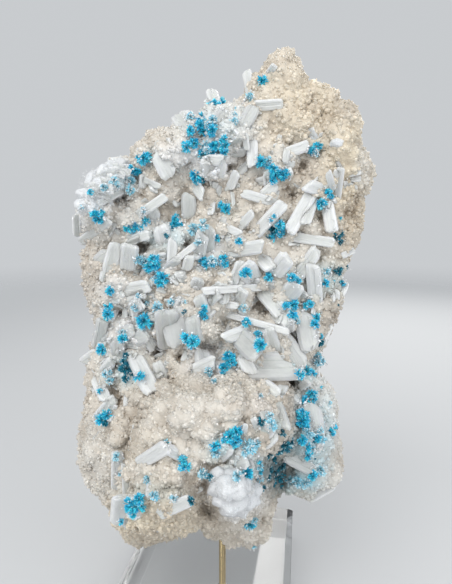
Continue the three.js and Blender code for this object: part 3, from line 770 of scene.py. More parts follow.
def at_corners(colour, shape):
    """The crystals' colours, kept from black and from glare, repeated for every corner of their shape."""
    return np.repeat(colour.clip(CRYSTAL_DARKEST, 1), len(shape), 0)


# The fourth number of a crystal's colour says how dull it is.
sugar_material, tree, shader = new_material(
    "sugar_crystals", IOR=1.5, Coat_Weight=0.2, Subsurface_Weight=0.25,
    Subsurface_Radius=(1.0, 0.85, 0.7), Subsurface_Scale=0.0012,
)
sugar = add_node(tree, "ShaderNodeGroup", {"Scale": 1500.0, "Strength": 0.5}, node_tree=SUGAR)
own = attribute(tree, "crystal_colour")
grainy = mix_colours(tree, sugar.outputs["Mask"], (0.87, 0.86, 0.84, 1), (1.09, 1.09, 1.09, 1))
give_colour(tree, shader, own.outputs["Color"], grainy)
tree.links.new(ramp(tree, own.outputs["Alpha"], 0.0, 1.0, 0.1, 0.6), shader.inputs["Roughness"])
tree.links.new(sugar.outputs["Normal"], shader.inputs["Normal"])


def knobs():
    """The knobs: of places tried at random one is kept in each cube of the spacing, and a rough ball is set
    there, sunk by a share of its radius, more so where the crust is smooth. Gives what the sugar needs: a
    corner of the rock by each knob, its middle, its normal and its radius."""
    rng = np.random.default_rng(10)
    corner, points, normals = strewn(KNOB_TRIES, 1 - ROCK_BEHIND, rng)
    _, kept = np.unique(np.floor(points / KNOB_SPACING), axis=0, return_index=True)
    corner, points, normals = corner[kept], points[kept], normals[kept]
    count = len(points)
    coarse = zone(COARSE_ZONES, ROCK_U[corner], ROCK_V[corner])
    radius = rng.uniform(*KNOB_RADIUS, count) * (KNOB_FINE + (1 - KNOB_FINE) * coarse)
    sunk = KNOB_SUNK + KNOB_SUNK_SMOOTH * zone(SMOOTH_ZONES, ROCK_U[corner], ROCK_V[corner])
    middle = points - normals * (sunk * radius)[:, None]
    breadth = radius * rng.uniform(*KNOB_BREADTH, count)
    height = radius * rng.uniform(*KNOB_HEIGHT, count)
    axis, side, other = axes(normals, KNOB_TILT, rng)
    shape = BALL_SHAPE * (1 + KNOB_STRAY * rng.standard_normal((count, len(BALL_SHAPE), 1)))
    size = np.stack([radius, breadth, height], 1)
    corners, faces = copies(shape, BALL_FACES, middle, side, other, axis, size)
    colour = crystal_colours(corner, points, rng)
    colour[:, 3] = rng.uniform(*KNOB_DULLNESS, count)
    piece = new_piece(
        "crust_knobs", corners, faces, sugar_material, "matrix", smooth=True,
        crystal_colour=at_corners(colour, BALL_SHAPE),
    )
    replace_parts(piece, "cavansite_specimen")
    return corner, middle, normals, radius


KNOB_CORNER, KNOB_MIDDLE, KNOB_NORMAL, KNOB_SIZE = knobs()


# ---- The sugar on the knobs ----------------------------------------------------------------------------
# Tens of thousands of blunt little crystals, about half a millimetre to one across, on the knobs and, more
# thinly, on the broken back. They are what sparkles.

SUGAR_COUNT = 21000
BACK_SUGAR_COUNT = 10000
# Half the width of a grain in mm, its height as a share of that, and its tilt.
SUGAR_WIDTH = (0.2, 0.44)
SUGAR_HEIGHT = (0.9, 1.7)
SUGAR_TILT = 0.4
# The colour of some grains, how many of them take it and how far.
SUGAR_BRIGHT = (0.88, 0.86, 0.83, 1)
BRIGHT_GRAINS = 0.09
BRIGHTENED = (0.1, 0.7)
SUGAR_BROWN = (0.30, 0.22, 0.15, 1)
BROWN_GRAINS = 0.06
BROWNED = (0.1, 0.4)
# Most grains are glossy: their dullness is a random number to this power.
SUGAR_GLOSS = 1.5
# How much more grains face the open than the crust, and how far out on its knob each sits.
SUGAR_OPENNESS = 1.1
SUGAR_SEAT = 0.9

# A blunt double pyramid: a lopsided square girdle, and a tip pushed sideways.
GRAIN_SHAPE = np.array([
    [1, 0, 0], [0, 0.8, 0.15], [-1, 0, 0], [0, -0.8, -0.1], [0.2, 0.1, 1], [0, 0, -0.9],
])
GRAIN_FACES = np.array([
    [0, 1, 4], [1, 2, 4], [2, 3, 4], [3, 0, 4], [1, 0, 5], [2, 1, 5], [3, 2, 5], [0, 3, 5],
])


def druse(name, corner, points, normals, rng):
    """One crop of sugar crystals, each with its own lightness, some white and some brown."""
    count = len(points)
    width = rng.uniform(*SUGAR_WIDTH, count)
    size = np.stack([width, width, width * rng.uniform(*SUGAR_HEIGHT, count)], 1)
    axis, side, other = axes(normals, SUGAR_TILT, rng)
    corners, faces = copies(GRAIN_SHAPE, GRAIN_FACES, points, side, other, axis, size)
    colour = crystal_colours(corner, points, rng)
    kind = rng.random(count)
    bright = ((kind < BRIGHT_GRAINS) * rng.uniform(*BRIGHTENED, count))[:, None]
    brown = ((kind > 1 - BROWN_GRAINS) * rng.uniform(*BROWNED, count))[:, None]
    colour += bright * (np.array(SUGAR_BRIGHT) - colour) + brown * (np.array(SUGAR_BROWN) - colour)
    colour[:, 3] = rng.random(count) ** SUGAR_GLOSS
    colour = at_corners(colour, GRAIN_SHAPE)
    piece = new_piece(name, corners, faces, sugar_material, "matrix", crystal_colour=colour)
    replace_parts(piece, "cavansite_specimen")


def sugar_on_knobs(count, seed):
    """Places on the open side of knobs chosen at random, big knobs more often."""
    rng = np.random.default_rng(seed)
    share = np.cumsum(KNOB_SIZE**2)
    owner = np.searchsorted(share, rng.random(count) * share[-1])
    direction = unit(rng.standard_normal((count, 3)) + SUGAR_OPENNESS * KNOB_NORMAL[owner])
    points = KNOB_MIDDLE[owner] + direction * (KNOB_SIZE[owner] * SUGAR_SEAT)[:, None]
    return KNOB_CORNER[owner], points, direction, rng


druse("sugar", *sugar_on_knobs(SUGAR_COUNT, 11))
rng = np.random.default_rng(13)
druse("sugar_behind", *strewn(BACK_SUGAR_COUNT, ROCK_BEHIND, rng), rng)


# ---- The stilbite blades -------------------------------------------------------------------------------
# Flat tablets with chisel ends, white and pearly, some of them grey and half clear. The growth steps along
# their broad faces are low, and their ends are a little uneven. Small ones fill in between.

# Root u, v, tip u, v, width (steps), and how far the tip stands off the rock (mm).
WHITE_BLADES = [
    [192, 131, 179, 115, 20, 3], [217, 108, 211, 90, 11, 1], [251, 92, 247, 71, 9, 1],
    [252, 106, 283, 104, 10, 3], [252, 139, 252, 166, 9, 3], [311, 143, 311, 128, 8, 2],
    [278, 156, 308, 145, 11, 2], [158, 151, 170, 177, 15, 3], [130, 163, 108, 160, 6, 0.5],
    [131, 168, 104, 166, 7, 1], [130, 173, 103, 172, 7, 1], [112, 178, 94, 172, 7, 1.5],
    [114, 184, 90, 178, 8, 1.5], [112, 190, 86, 186, 8, 2], [110, 196, 88, 192, 8, 2.5],
    [128, 188, 98, 204, 7, 3.5], [77, 236, 76, 214, 8, 2], [84, 234, 83, 214, 8, 2],
    [132, 219, 166, 196, 8, 4], [151, 223, 156, 208, 14, 2], [81, 242, 109, 220, 9, 3],
    [106, 281, 117, 243, 13, 4], [117, 243, 149, 235, 8, 4], [127, 269, 130, 245, 18, 2],
    [166, 246, 160, 226, 16, 3], [171, 270, 173, 240, 10, 3], [206, 176, 209, 160, 12, 2],
    [191, 181, 203, 196, 12, 4], [229, 190, 237, 172, 9, 2], [262, 197, 276, 184, 11, 2],
    [276, 203, 243, 193, 9, 2], [252, 237, 284, 203, 13, 6], [237, 230, 253, 212, 8, 4],
    [218, 223, 240, 234, 8, 3], [208, 256, 208, 226, 14, 5], [198, 259, 203, 233, 11, 4],
    [226, 252, 263, 246, 14, 5], [257, 254, 272, 269, 14, 3], [313, 190, 289, 232, 14, 5],
    [314, 198, 305, 224, 11, 3], [323, 190, 307, 185, 11, 3], [326, 201, 332, 232, 11, 4],
    [337, 200, 341, 168, 7, 4], [346, 175, 361, 172, 5, 2], [346, 180, 361, 179, 5, 2],
    [333, 190, 328, 172, 6, 2], [294, 237, 334, 243, 9, 6], [122, 291, 149, 286, 13, 3],
    [126, 312, 141, 303, 13, 3], [98, 352, 83, 362, 10, 1], [143, 329, 154, 348, 10, 4],
    [194, 291, 199, 279, 13, 3], [230, 290, 241, 261, 9, 4], [238, 304, 244, 290, 12, 3],
    [258, 290, 246, 265, 18, 5], [207, 319, 198, 296, 11, 4], [262, 287, 203, 291, 8, 4],
    [262, 290, 290, 323, 17, 5], [222, 313, 289, 332, 6, 12], [261, 325, 224, 339, 13, 6],
    [277, 354, 268, 329, 12, 4], [205, 373, 202, 350, 16, 3], [296, 279, 317, 250, 14, 5],
    [316, 304, 313, 264, 14, 5], [274, 275, 288, 257, 17, 4], [284, 299, 297, 284, 16, 4],
    [95, 376, 107, 401, 11, 3], [97, 419, 115, 398, 11, 3], [164, 380, 157, 362, 13, 3],
    [139, 464, 167, 447, 11, 4], [190, 461, 165, 447, 11, 4], [242, 356, 252, 374, 14, 2],
    [218, 459, 231, 446, 13, 3], [262, 384, 279, 396, 12, 2], [117, 489, 118, 452, 11, 3],
    [124, 525, 127, 497, 24, 4], [134, 518, 139, 498, 12, 2], [160, 514, 189, 501, 9, 4.5],
    [309, 498, 334, 484, 10, 2], [180, 128, 174, 121, 8, 1], [196, 126, 188, 116, 9, 1],
    [212, 112, 206, 100, 7, 1], [229, 107, 236, 104, 5, 1], [245, 134, 247, 150, 5, 1],
    [285, 163, 287, 150, 7, 1], [120, 172, 97, 178, 11, 1], [99, 178, 94, 173, 6, 1],
    [142, 179, 160, 187, 5, 1], [112, 252, 140, 238, 6, 2], [206, 160, 222, 160, 10, 1],
    [232, 192, 234, 205, 4, 1], [268, 190, 266, 172, 8, 1], [173, 262, 195, 245, 6, 2],
    [333, 188, 337, 170, 5, 1], [342, 256, 354, 250, 6, 1], [124, 298, 145, 294, 9, 2],
    [110, 302, 120, 299, 7, 1], [114, 346, 109, 338, 6, 1], [186, 270, 190, 256, 10, 1],
    [215, 288, 220, 283, 6, 2], [209, 303, 219, 293, 10, 2], [224, 304, 238, 306, 6, 2],
    [272, 314, 280, 321, 8, 2], [296, 300, 306, 292, 10, 2], [288, 328, 287, 312, 12, 2],
    [279, 330, 289, 334, 7, 2], [322, 344, 330, 324, 7, 1], [334, 303, 335, 289, 9, 1],
    [325, 276, 332, 274, 5, 1], [103, 372, 112, 361, 10, 2], [152, 364, 160, 378, 9, 2],
    [131, 452, 136, 426, 6, 2], [193, 372, 214, 362, 12, 2], [276, 398, 284, 386, 9, 2],
    [266, 436, 272, 422, 9, 2], [243, 440, 246, 424, 5, 2], [315, 356, 319, 382, 4, 1],
    [300, 388, 309, 382, 7, 1], [264, 446, 276, 434, 9, 2], [127, 496, 125, 464, 7, 2],
    [233, 466, 247, 460, 10, 2], [338, 297, 344, 282, 11, 2], [134, 354, 152, 392, 17, 5],
    [212, 180, 207, 161, 12, 2], [216, 176, 223, 161, 13, 2], [124, 176, 104, 168, 6, 2],
    [100, 181, 90, 174, 8, 2],
]
GREY_BLADES = [
    [216, 124, 226, 110, 13, 1], [243, 128, 254, 107, 12, 1], [189, 218, 189, 194, 14, 2],
    [98, 263, 109, 254, 14, 2], [97, 348, 103, 320, 11, 3], [118, 359, 119, 340, 14, 3],
    [169, 347, 166, 311, 20, 3], [239, 336, 258, 355, 19, 4], [303, 311, 311, 350, 17, 4],
    [315, 439, 311, 404, 16, 3], [284, 454, 313, 470, 12, 1], [276, 404, 284, 428, 11, 3],
    [262, 410, 272, 430, 10, 2], [172, 312, 180, 344, 24, 3], [192, 318, 196, 344, 14, 2],
    [246, 367, 292, 366, 28, 4], [281, 338, 303, 368, 18, 4], [120, 336, 134, 330, 14, 2],
    [132, 342, 146, 334, 12, 2],
]
# Thickness of a listed blade as a share of its width, and half the thickest in mm.
BLADE_THICKNESS = 0.4
BLADE_THICKEST = 1.25
# How deep its root is sunk, and how far its middle at least stands off the rock, in mm.
BLADE_SUNK = 1.6
BLADE_CLEARANCE = 1.5
# How far it rolls about its length, in radians. Where the face turns away, a step on it is wider than the
# grid's, but counts as no more than this many of them.
BLADE_ROLL = 0.12
WIDEST_STEP = 1.1

# How many small blades are strewn round the listed ones, white and half clear.
SMALL_BLADES = 240
HALF_CLEAR_SMALL = 80
# How far small blades stray from a listed blade's root, how near the rim they come, and their length in
# steps; how deep the root is sunk, how far the tip stands off, and the length past which one is cut, in mm.
SMALL_STRAY = 11
SMALL_RIM = 0.96
SMALL_LENGTH = (6, 15)
SMALL_SUNK = 0.8
SMALL_STAND = (0.2, 2.0)
SMALL_LONGEST = 9
SMALL_CUT = 7
# Half the width as a share of the length, the thickness as a share of the width, and the roll in radians.
SMALL_WIDTH = (0.16, 0.36)
SMALL_THICKNESS = (0.35, 0.6)
SMALL_ROLL = (-0.8, 0.8)
# Where small blades crowd together: u, v, half-width, half-height, how many white and how many half clear.
CROWDS = [
    [100, 188, 16, 16, 12, 6], [112, 172, 14, 8, 6, 4], [208, 125, 22, 18, 24, 20],
    [235, 295, 40, 30, 34, 24], [150, 300, 30, 26, 30, 24], [300, 330, 20, 24, 20, 16],
    [312, 420, 13, 36, 34, 30], [236, 462, 18, 20, 16, 12], [190, 350, 30, 16, 20, 14],
    [110, 360, 9, 34, 24, 8], [225, 305, 14, 10, 12, 4],
]

# Cross-section of a blade, as shares of its half-width and half-thickness: two growth steps on the face
# that looks out. Then its end stations: how far each lies from the end, as a share of the chisel, its width
# and thickness, and how much of the end's slant it takes. Between the two ends lie evenly spaced ones.
BLADE_SECTION = np.array([
    [1, 0.4], [0.8, 0.92], [0.42, 1], [0.36, 0.86], [-0.1, 0.9], [-0.16, 1.04], [-0.74, 0.98], [-1, 0.4],
    [-0.96, -0.5], [-0.7, -1], [0.75, -0.95], [1, -0.45],
])
END_STATIONS = [(0.0, 0.62, 0.6, 1.0), (0.35, 0.92, 0.9, 1.0), (1.0, 1.0, 1.0, 0.5)]
EVEN_STATIONS = 1
# How far a blade's corners stray, alike along it and from station to station, as shares of its size; the
# unevenness, the slant and the bluntness of its ends, as shares of half its width.
BLADE_STRAY = 0.05
STATION_STRAY = 0.015
END_STRAY = 0.12
END_SLANT = 0.25
END_BLUNT = 0.06
# Length of the chisel in half-widths, its range, and its longest as a share of the blade.
CHISEL = 0.9
CHISEL_RANGE = (0.4, 1.5)
CHISEL_LONGEST = 0.35


def blade_axes(root, tip, roll):
    """Directions and lengths of blades: along each, sideways across the line of sight, and outward, the last
    two rolled about the first."""
    along = tip - root
    length = np.linalg.norm(along, axis=1)
    along = along / length[:, None]
    sideways = unit(np.cross(EYE - (root + tip) / 2, along))
    outward = np.cross(along, sideways)
    turned = sideways * np.cos(roll)[:, None] + outward * np.sin(roll)[:, None]
    return along, turned, np.cross(along, turned), length


def tube_faces(rings, around):
    """Triangles of a closed tube. Its corners come ring by ring, each ring anticlockwise as seen from the
    last, and after them the two middle points that close the first ring and the last."""
    step = np.arange(around)
    turn = (step + 1) % around
    faces = []
    for low in range(0, (rings - 1) * around, around):
        high = low + around
        faces.append(np.stack([high + turn, high + step, low + step], 1))
        faces.append(np.stack([low + turn, high + turn, low + step], 1))
    last, first_middle = (rings - 1) * around, rings * around
    faces.append(np.stack([turn, step, np.full(around, first_middle)], 1))
    faces.append(np.stack([last + step, last + turn, np.full(around, first_middle + 1)], 1))
    return np.concatenate(faces)


def tablets(root, tip, half_width, half_thickness, roll, rng):
    """Closed tablets from root to tip. Each is a tube of stepped sections whose width narrows in a chisel at
    both ends, its corners strayed a little, its ends uneven and closed on a middle point. Gives corners,
    triangles and, at each corner, its lie: how far across in half-widths, how far along in mm, and a random
    number that is the tablet's own."""
    along, sideways, outward, length = blade_axes(root, tip, roll)
    count, around = len(root), len(BLADE_SECTION)
    chisel = np.minimum(CHISEL * half_width * rng.uniform(*CHISEL_RANGE, count), CHISEL_LONGEST * length)
    slant = END_SLANT * rng.standard_normal((2, count)) * half_width
    root_end = [(share * chisel, width, thick, lean * slant[0]) for share, width, thick, lean in END_STATIONS]
    even = [
        (chisel + (length - 2 * chisel) * k / (EVEN_STATIONS + 1), 1.0, 1.0, 0 * length)
        for k in range(1, EVEN_STATIONS + 1)
    ]
    tip_end = [
        (length - share * chisel, width, thick, lean * slant[1])
        for share, width, thick, lean in reversed(END_STATIONS)
    ]
    stations = root_end + even + tip_end
    own = 1 + BLADE_STRAY * rng.standard_normal((count, around, 2))
    rings = []
    for number, (at, width, thick, lean) in enumerate(stations):
        skew = own + STATION_STRAY * rng.standard_normal((count, around, 2))
        half = np.stack([half_width * width, half_thickness * thick], 1)
        across = BLADE_SECTION[None] * skew * half[:, None]
        uneven = END_STRAY * rng.standard_normal((count, around)) * (number in (0, len(stations) - 1))
        reach = at[:, None] + uneven * half_width[:, None] + lean[:, None] * BLADE_SECTION[:, 0]
        middle = root[:, None] + along[:, None] * reach[..., None]
        rings.append(middle + across[..., :1] * sideways[:, None] + across[..., 1:] * outward[:, None])
    blunt = END_BLUNT * half_width[:, None]
    ends = np.stack([root - along * blunt, tip + along * blunt], 1)
    corners = np.concatenate([np.concatenate(rings, 1), ends], 1)

    offset = corners - root[:, None]
    lie = np.stack([
        (offset * sideways[:, None]).sum(2) / half_width[:, None],
        (offset * along[:, None]).sum(2),
        np.repeat(rng.random(count)[:, None], corners.shape[1], 1),
    ], -1)
    faces = numbered(tube_faces(len(stations), around), corners.shape[1], count)
    return corners.reshape(-1, 3), faces, lie.reshape(-1, 3)


def listed_blades(rows, seed):
    """Roots, tips, half-sizes and rolls for a list of blades. One whose middle would lie deeper than the
    clearance, because the rock bulges under it, is moved out by what it lacks."""
    rng = np.random.default_rng(seed)
    root_u, root_v, tip_u, tip_v, width, stand = np.array(rows, float).T
    root = on_face(root_u, root_v, -BLADE_SUNK)
    tip = on_face(tip_u, tip_v, stand)
    clear = on_face((root_u + tip_u) / 2, (root_v + tip_v) / 2, BLADE_CLEARANCE)
    outward = unit(EYE - clear)
    lacking = np.maximum(0, ((clear - (root + tip) / 2) * outward).sum(1))[:, None]
    root += outward * lacking
    tip += outward * lacking
    step = np.linalg.norm(on_face(root_u + 1, root_v, 0) - on_face(root_u, root_v, 0), axis=1)
    half = width * np.minimum(step, GRID_STEP * WIDEST_STEP) / 2
    thickness = np.minimum(half * BLADE_THICKNESS, BLADE_THICKEST)
    return root, tip, half, thickness, BLADE_ROLL * rng.standard_normal(len(rows)), rng


def small_blades(count, crowd_column, seed):
    """Small blades strewn round the roots of the listed ones, and in the crowds, lying every way. One that
    bridges a step in the rock is cut short."""
    rng = np.random.default_rng(seed)
    listed = np.array(WHITE_BLADES + GREY_BLADES, float)
    crowds = np.array(CROWDS, float)
    crowds = np.repeat(crowds, crowds[:, crowd_column].astype(int), 0)
    near = np.concatenate([listed[rng.integers(0, len(listed), count), :2], crowds[:, :2]])
    stray = np.concatenate([np.full((count, 2), SMALL_STRAY), crowds[:, 2:4]])
    root_u, root_v = (near + stray * rng.standard_normal(near.shape)).T
    inside = rim_share(root_u, root_v) < SMALL_RIM
    root_u, root_v = root_u[inside], root_v[inside]
    count = len(root_u)
    turn = rng.uniform(0, 2 * np.pi, count)
    length = rng.uniform(*SMALL_LENGTH, count)
    root = on_face(root_u, root_v, -SMALL_SUNK)
    stand = rng.uniform(*SMALL_STAND, count)
    tip = on_face(root_u + length * np.cos(turn), root_v + length * np.sin(turn), stand)
    span = np.linalg.norm(tip - root, axis=1)
    long = span > SMALL_LONGEST
    tip[long] = root[long] + (tip[long] - root[long]) * (SMALL_CUT / span[long])[:, None]
    half = length * GRID_STEP * rng.uniform(*SMALL_WIDTH, count)
    return root, tip, half, half * rng.uniform(*SMALL_THICKNESS, count), rng.uniform(*SMALL_ROLL, count), rng


def stilbite_material(name, colour, dull, **sockets):
    """Stilbite: finely striped along the blade, each blade of its own tone between dull and the colour, its
    long edges painted lighter as a highlight."""
    material, tree, shader = new_material(
        name, Subsurface_Radius=(1.0, 1.0, 1.1), Subsurface_Scale=0.002, **sockets
    )
    lie = attribute(tree, "lie").outputs["Vector"]
    stretched = add_node(tree, "ShaderNodeVectorMath", {0: lie, 1: (2.0, 0.12, 40.0)}, operation="MULTIPLY")
    stripes = noise(tree, stretched.outputs[0], 2.2, 4.0, 0.6)
    split = add_node(tree, "ShaderNodeSeparateXYZ", {"Vector": lie})
    painted_edge_light = add_node(tree, "ShaderNodeMath", {0: split.outputs["X"]}, operation="ABSOLUTE").outputs[0]
    body = mix_colours(tree, split.outputs["Z"], dull, colour)
    # Painted highlight: the long edges of a blade are painted a lighter grey-white.
    tone = mix_colours(tree, ramp(tree, painted_edge_light, 0.45, 1.0), body, (0.76, 0.77, 0.775, 1))
    shade = mix_colours(tree, ramp(tree, stripes, 0.3, 0.65), (0.90, 0.90, 0.91, 1), (1.04, 1.04, 1.04, 1))
    give_colour(tree, shader, tone, shade)
    give_bump(tree, shader, stripes, 0.25, 0.0003)
    return material


pearly = stilbite_material(
    "pearly_stilbite", (0.72, 0.73, 0.725, 1), (0.62, 0.635, 0.615, 1),
    Roughness=0.4, IOR=1.5, Coat_Weight=0.3, Coat_Roughness=0.15,
    Transmission_Weight=0.12, Subsurface_Weight=0.8,
)
half_clear = stilbite_material(
    "half_clear_stilbite", (0.79, 0.805, 0.79, 1), (0.70, 0.72, 0.70, 1),
    Roughness=0.4, IOR=1.5, Coat_Weight=0.3, Coat_Roughness=0.15,
    Transmission_Weight=0.4, Subsurface_Weight=0.6,
)


def joined(parts):
    """Several lots of corners, triangles and perhaps values at the corners, as one lot."""
    starts = np.cumsum([0] + [len(part[0]) for part in parts])
    lot = [np.concatenate(arrays) for arrays in zip(*parts)]
    lot[1] = np.concatenate([part[1] + start for part, start in zip(parts, starts)])
    return lot


def blades(name, material, *parts):
    """One piece from several lots of tablets; gives its corners and faces."""
    corners, faces, lie = joined([tablets(*part) for part in parts])
    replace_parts(new_piece(name, corners, faces, material, "matrix", lie=lie), "cavansite_specimen")
    return corners, faces


PEARLY_SURFACE = blades(
    "stilbite_blades", pearly, listed_blades(WHITE_BLADES, 21), small_blades(SMALL_BLADES, 4, 22)
)
HALF_CLEAR_SURFACE = blades(
    "half_clear_blades", half_clear, listed_blades(GREY_BLADES, 23), small_blades(HALF_CLEAR_SMALL, 5, 24)
)


# ---- The white balls -----------------------------------------------------------------------------------
# Stilbite again, grown so thick that it closes into milky lumps: a cluster hanging below the lobe, lumps
# between the plates of the left ledge and a few small balls. The flat ends of the crystals show as facets
# with soft edges.

# Ball u, v, radius (steps), how far its middle stands off the rock (mm), and how white it is, from 0 to 1.
WHITE_BALLS = [
    [221, 479, 9.5, -2, 0.05], [232, 479, 8, -3.5, 0.1], [217, 488, 8, -2.5, 0.15],
    [227, 488, 10, -1.5, 0.2], [237, 488, 9, -2, 0.2], [244, 484, 7, -1, 0.2], [253, 490, 9, -2.5, 0.35],
    [257, 487, 6, -3, 0.35], [223, 499, 9, -2, 0.2], [234, 499, 10.5, -1.2, 0.25],
    [246, 499, 8.5, -2.2, 0.35], [254, 500, 7, -3, 0.35], [229, 508, 8, -1.8, 0.15],
    [240, 508, 8, -2, 0.15], [235, 512, 5.5, -1.5, 0.15], [197, 285, 6, 0.5, 0.4],
    [248, 278, 5, 0.5, 0.2], [128, 257, 6, 0, 0.3], [313, 136, 6, 0, 0.35], [337, 144, 5.5, -0.3, 0.35],
    [112, 169, 9, -2.5, 0.2], [122, 167, 8, -2.5, 0.2], [103, 175, 9, -2.5, 0.3],
    [93, 184, 9.5, -2.5, 0.4], [101, 187, 8, -2, 0.4], [87, 196, 9.5, -2.5, 0.35],
    [97, 199, 10, -1, 0.5], [106, 199, 7, -1.5, 0.4], [87, 206, 10, -2, 0.45], [96, 207, 8, -1.5, 0.6],
    [82, 220, 6.5, -4.2, 0.4], [82, 229, 6, -4.2, 0.3],
]
# How far a ball is squashed or drawn out each way; how many planes cut it, how deep they lie as shares of its
# radius, and how sharp the edges between them are.
BALL_SQUASH = (0.8, 1.15)
BALL_FACETS = 16
FACET_DEPTH = (0.8, 1.0)
FACET_SHARPNESS = 26
# Where no facet cuts it, a ball is closed by a sphere of its radius divided by this.
BALL_CLOSING = 0.9
# How high the grain on a ball is, as a share of its radius, and how fine.
BALL_GRAIN = 0.045
BALL_GRAIN_FINENESS = 5
# How the stripes of the stilbite lie on a ball: across it and up it.
BALL_STRIPES = (0.4, 5)


def divided(shape, faces):
    """Each triangle cut in four at the middles of its sides, and every corner brought onto the unit
    sphere."""
    sides = np.sort(np.concatenate([faces[:, [0, 1]], faces[:, [1, 2]], faces[:, [2, 0]]]), axis=1)
    pairs, inverse = np.unique(sides, axis=0, return_inverse=True)
    a, b, c = faces.T
    ab, bc, ca = inverse.reshape(3, -1) + len(shape)
    shape = np.concatenate([shape, shape[pairs].mean(1)])
    fours = [(a, ab, ca), (ab, b, bc), (ca, bc, c), (ab, bc, ca)]
    faces = np.concatenate([np.stack(four, 1) for four in fours])
    return unit(shape), faces


def balls():
    """All the balls. Each is a sphere cut by planes all round it: with s the sharpness, its radius towards d
    is the sum over the planes of (d . normal / depth) ** s, to the power -1 / s. Gives corners and faces."""
    rng = np.random.default_rng(31)
    u, v, radius, lift, whiteness = np.array(WHITE_BALLS, float).T
    sphere, faces = divided(*divided(*divided(BALL_SHAPE, BALL_FACES)))
    planes = rng.standard_normal((len(radius), BALL_FACETS, 3))
    depth = rng.uniform(*FACET_DEPTH, planes.shape[:2])
    planes /= (np.linalg.norm(planes, axis=2) * depth)[:, :, None]
    facing = np.maximum(0, np.einsum("kx,nfx->nkf", sphere, planes))
    facing = np.concatenate([facing, np.full((*facing.shape[:2], 1), BALL_CLOSING)], 2)
    cut = (facing**FACET_SHARPNESS).sum(2) ** (-1 / FACET_SHARPNESS)
    grain = 1 + BALL_GRAIN * soft_noise(sphere * BALL_GRAIN_FINENESS, 1, 6.7)
    size = (radius * GRID_STEP)[:, None] * cut * grain
    squash = rng.uniform(*BALL_SQUASH, (len(radius), 1, 3))
    corners = (on_face(u, v, lift)[:, None] + sphere * squash * size[..., None]).reshape(-1, 3)
    faces = numbered(faces, len(sphere), len(radius))
    lie = np.tile(sphere[:, [0, 2]] * BALL_STRIPES, (len(radius), 1))
    lie = np.column_stack([lie, np.repeat(whiteness, len(sphere))])
    milky = stilbite_material(
        "milky_stilbite", (0.84, 0.87, 0.90, 1), (0.55, 0.555, 0.56, 1),
        Roughness=0.45, IOR=1.5, Coat_Weight=0.05, Coat_Roughness=0.3,
    )
    piece = new_piece("stilbite_balls", corners, faces, milky, "matrix", smooth=True, lie=lie)
    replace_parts(piece, "cavansite_specimen")
    return corners, faces


WHITE_BALL_SURFACE = balls()


# ---- The cavansite -------------------------------------------------------------------------------------
# Rosettes of bright blue needles, 2 to 6 mm across, grown on the stilbite and the crust alike. Some are
# dusted with small clear crystals, which pales them, and those in the hollow right of the lobe and a few
# others are painted dark blue as shade.

corners, faces = joined([PEARLY_SURFACE, HALF_CLEAR_SURFACE, WHITE_BALL_SURFACE])
STILBITE = BVHTree.FromPolygons(corners.tolist(), faces.tolist())

# Rosette u, v and width (steps), by tone.
VIVID = [
    [262, 81, 8], [214, 106, 10], [222, 104, 9], [202, 118, 9], [200, 125, 8], [211, 130, 9],
    [204, 132, 7], [213, 129, 7], [190, 131, 8], [194, 143, 8], [187, 147, 8], [214, 146, 9],
    [212, 152, 9], [204, 154, 8], [224, 140, 7], [225, 146, 8], [224, 151, 7], [317, 146, 8],
    [311, 151, 6], [144, 158, 11], [139, 159, 6], [136, 171, 8], [131, 168, 5], [90, 192, 6],
    [95, 215, 9], [99, 219, 9], [101, 212, 5], [129, 228, 9], [134, 226, 8], [144, 222, 8],
    [148, 222, 5], [141, 229, 6], [176, 218, 8], [175, 225, 10], [179, 225, 7], [196, 175, 9],
    [197, 180, 8], [222, 206, 7], [226, 209, 9], [261, 162, 9], [267, 166, 5], [273, 169, 9],
    [276, 175, 10], [273, 181, 6], [283, 175, 9], [287, 172, 6], [217, 238, 6], [239, 241, 6],
    [274, 216, 4], [271, 220, 4], [280, 225, 9], [275, 235, 9], [281, 233, 7], [328, 193, 7],
    [331, 196, 6], [320.5, 204, 9], [338, 218, 6], [153, 259, 9], [156, 264, 10], [150, 267, 9],
    [163, 278, 10], [159, 283, 8], [111, 291, 8], [108, 306, 7], [114, 307, 6], [108, 314, 9],
    [144, 321, 12], [123, 339, 9], [102, 350, 9], [203, 260, 7], [206, 265, 7], [213, 264, 6],
    [223, 259, 8], [225, 264, 6], [246, 274, 9], [269, 277, 8], [204, 309, 7], [202, 314, 6],
    [205, 317, 6], [247, 322, 8], [258, 334, 6], [261, 345, 10], [187, 338, 10], [193, 342, 10],
    [229, 357, 10], [232, 363, 7], [292, 278, 8], [296, 281, 8], [286, 307, 7], [293, 305, 9],
    [293, 315, 8], [306, 306, 6], [310, 304, 7], [316, 318, 8], [315, 324, 8], [325, 283, 7],
    [332, 282, 6], [342, 283, 6], [320, 337, 6], [139, 376, 9], [100, 391, 5], [107, 415, 9],
    [102, 420, 9], [167, 443, 5], [231, 362, 9], [224, 368, 8], [224, 375, 8], [236, 432, 9],
    [230, 437, 9], [236, 441, 9], [226, 440, 7], [215, 446, 8], [184, 460, 8], [185, 467, 8],
    [306, 371, 9], [312, 373, 7], [300, 375, 8], [319, 386, 7], [312, 394, 9], [314, 399, 6],
    [306, 400, 7], [303, 404, 5], [303, 414, 10], [303, 421, 11], [306, 427, 7], [331, 426, 9],
    [330, 433, 8], [302, 440, 8], [306, 447, 8], [308, 455, 8], [317, 438, 7], [130, 504, 10],
    [136, 506, 11], [139, 499, 8], [134, 512, 8], [121, 522, 5], [246, 474, 10], [313, 476, 9],
    [249, 524, 10], [259, 460, 5], [260, 471, 6],
]
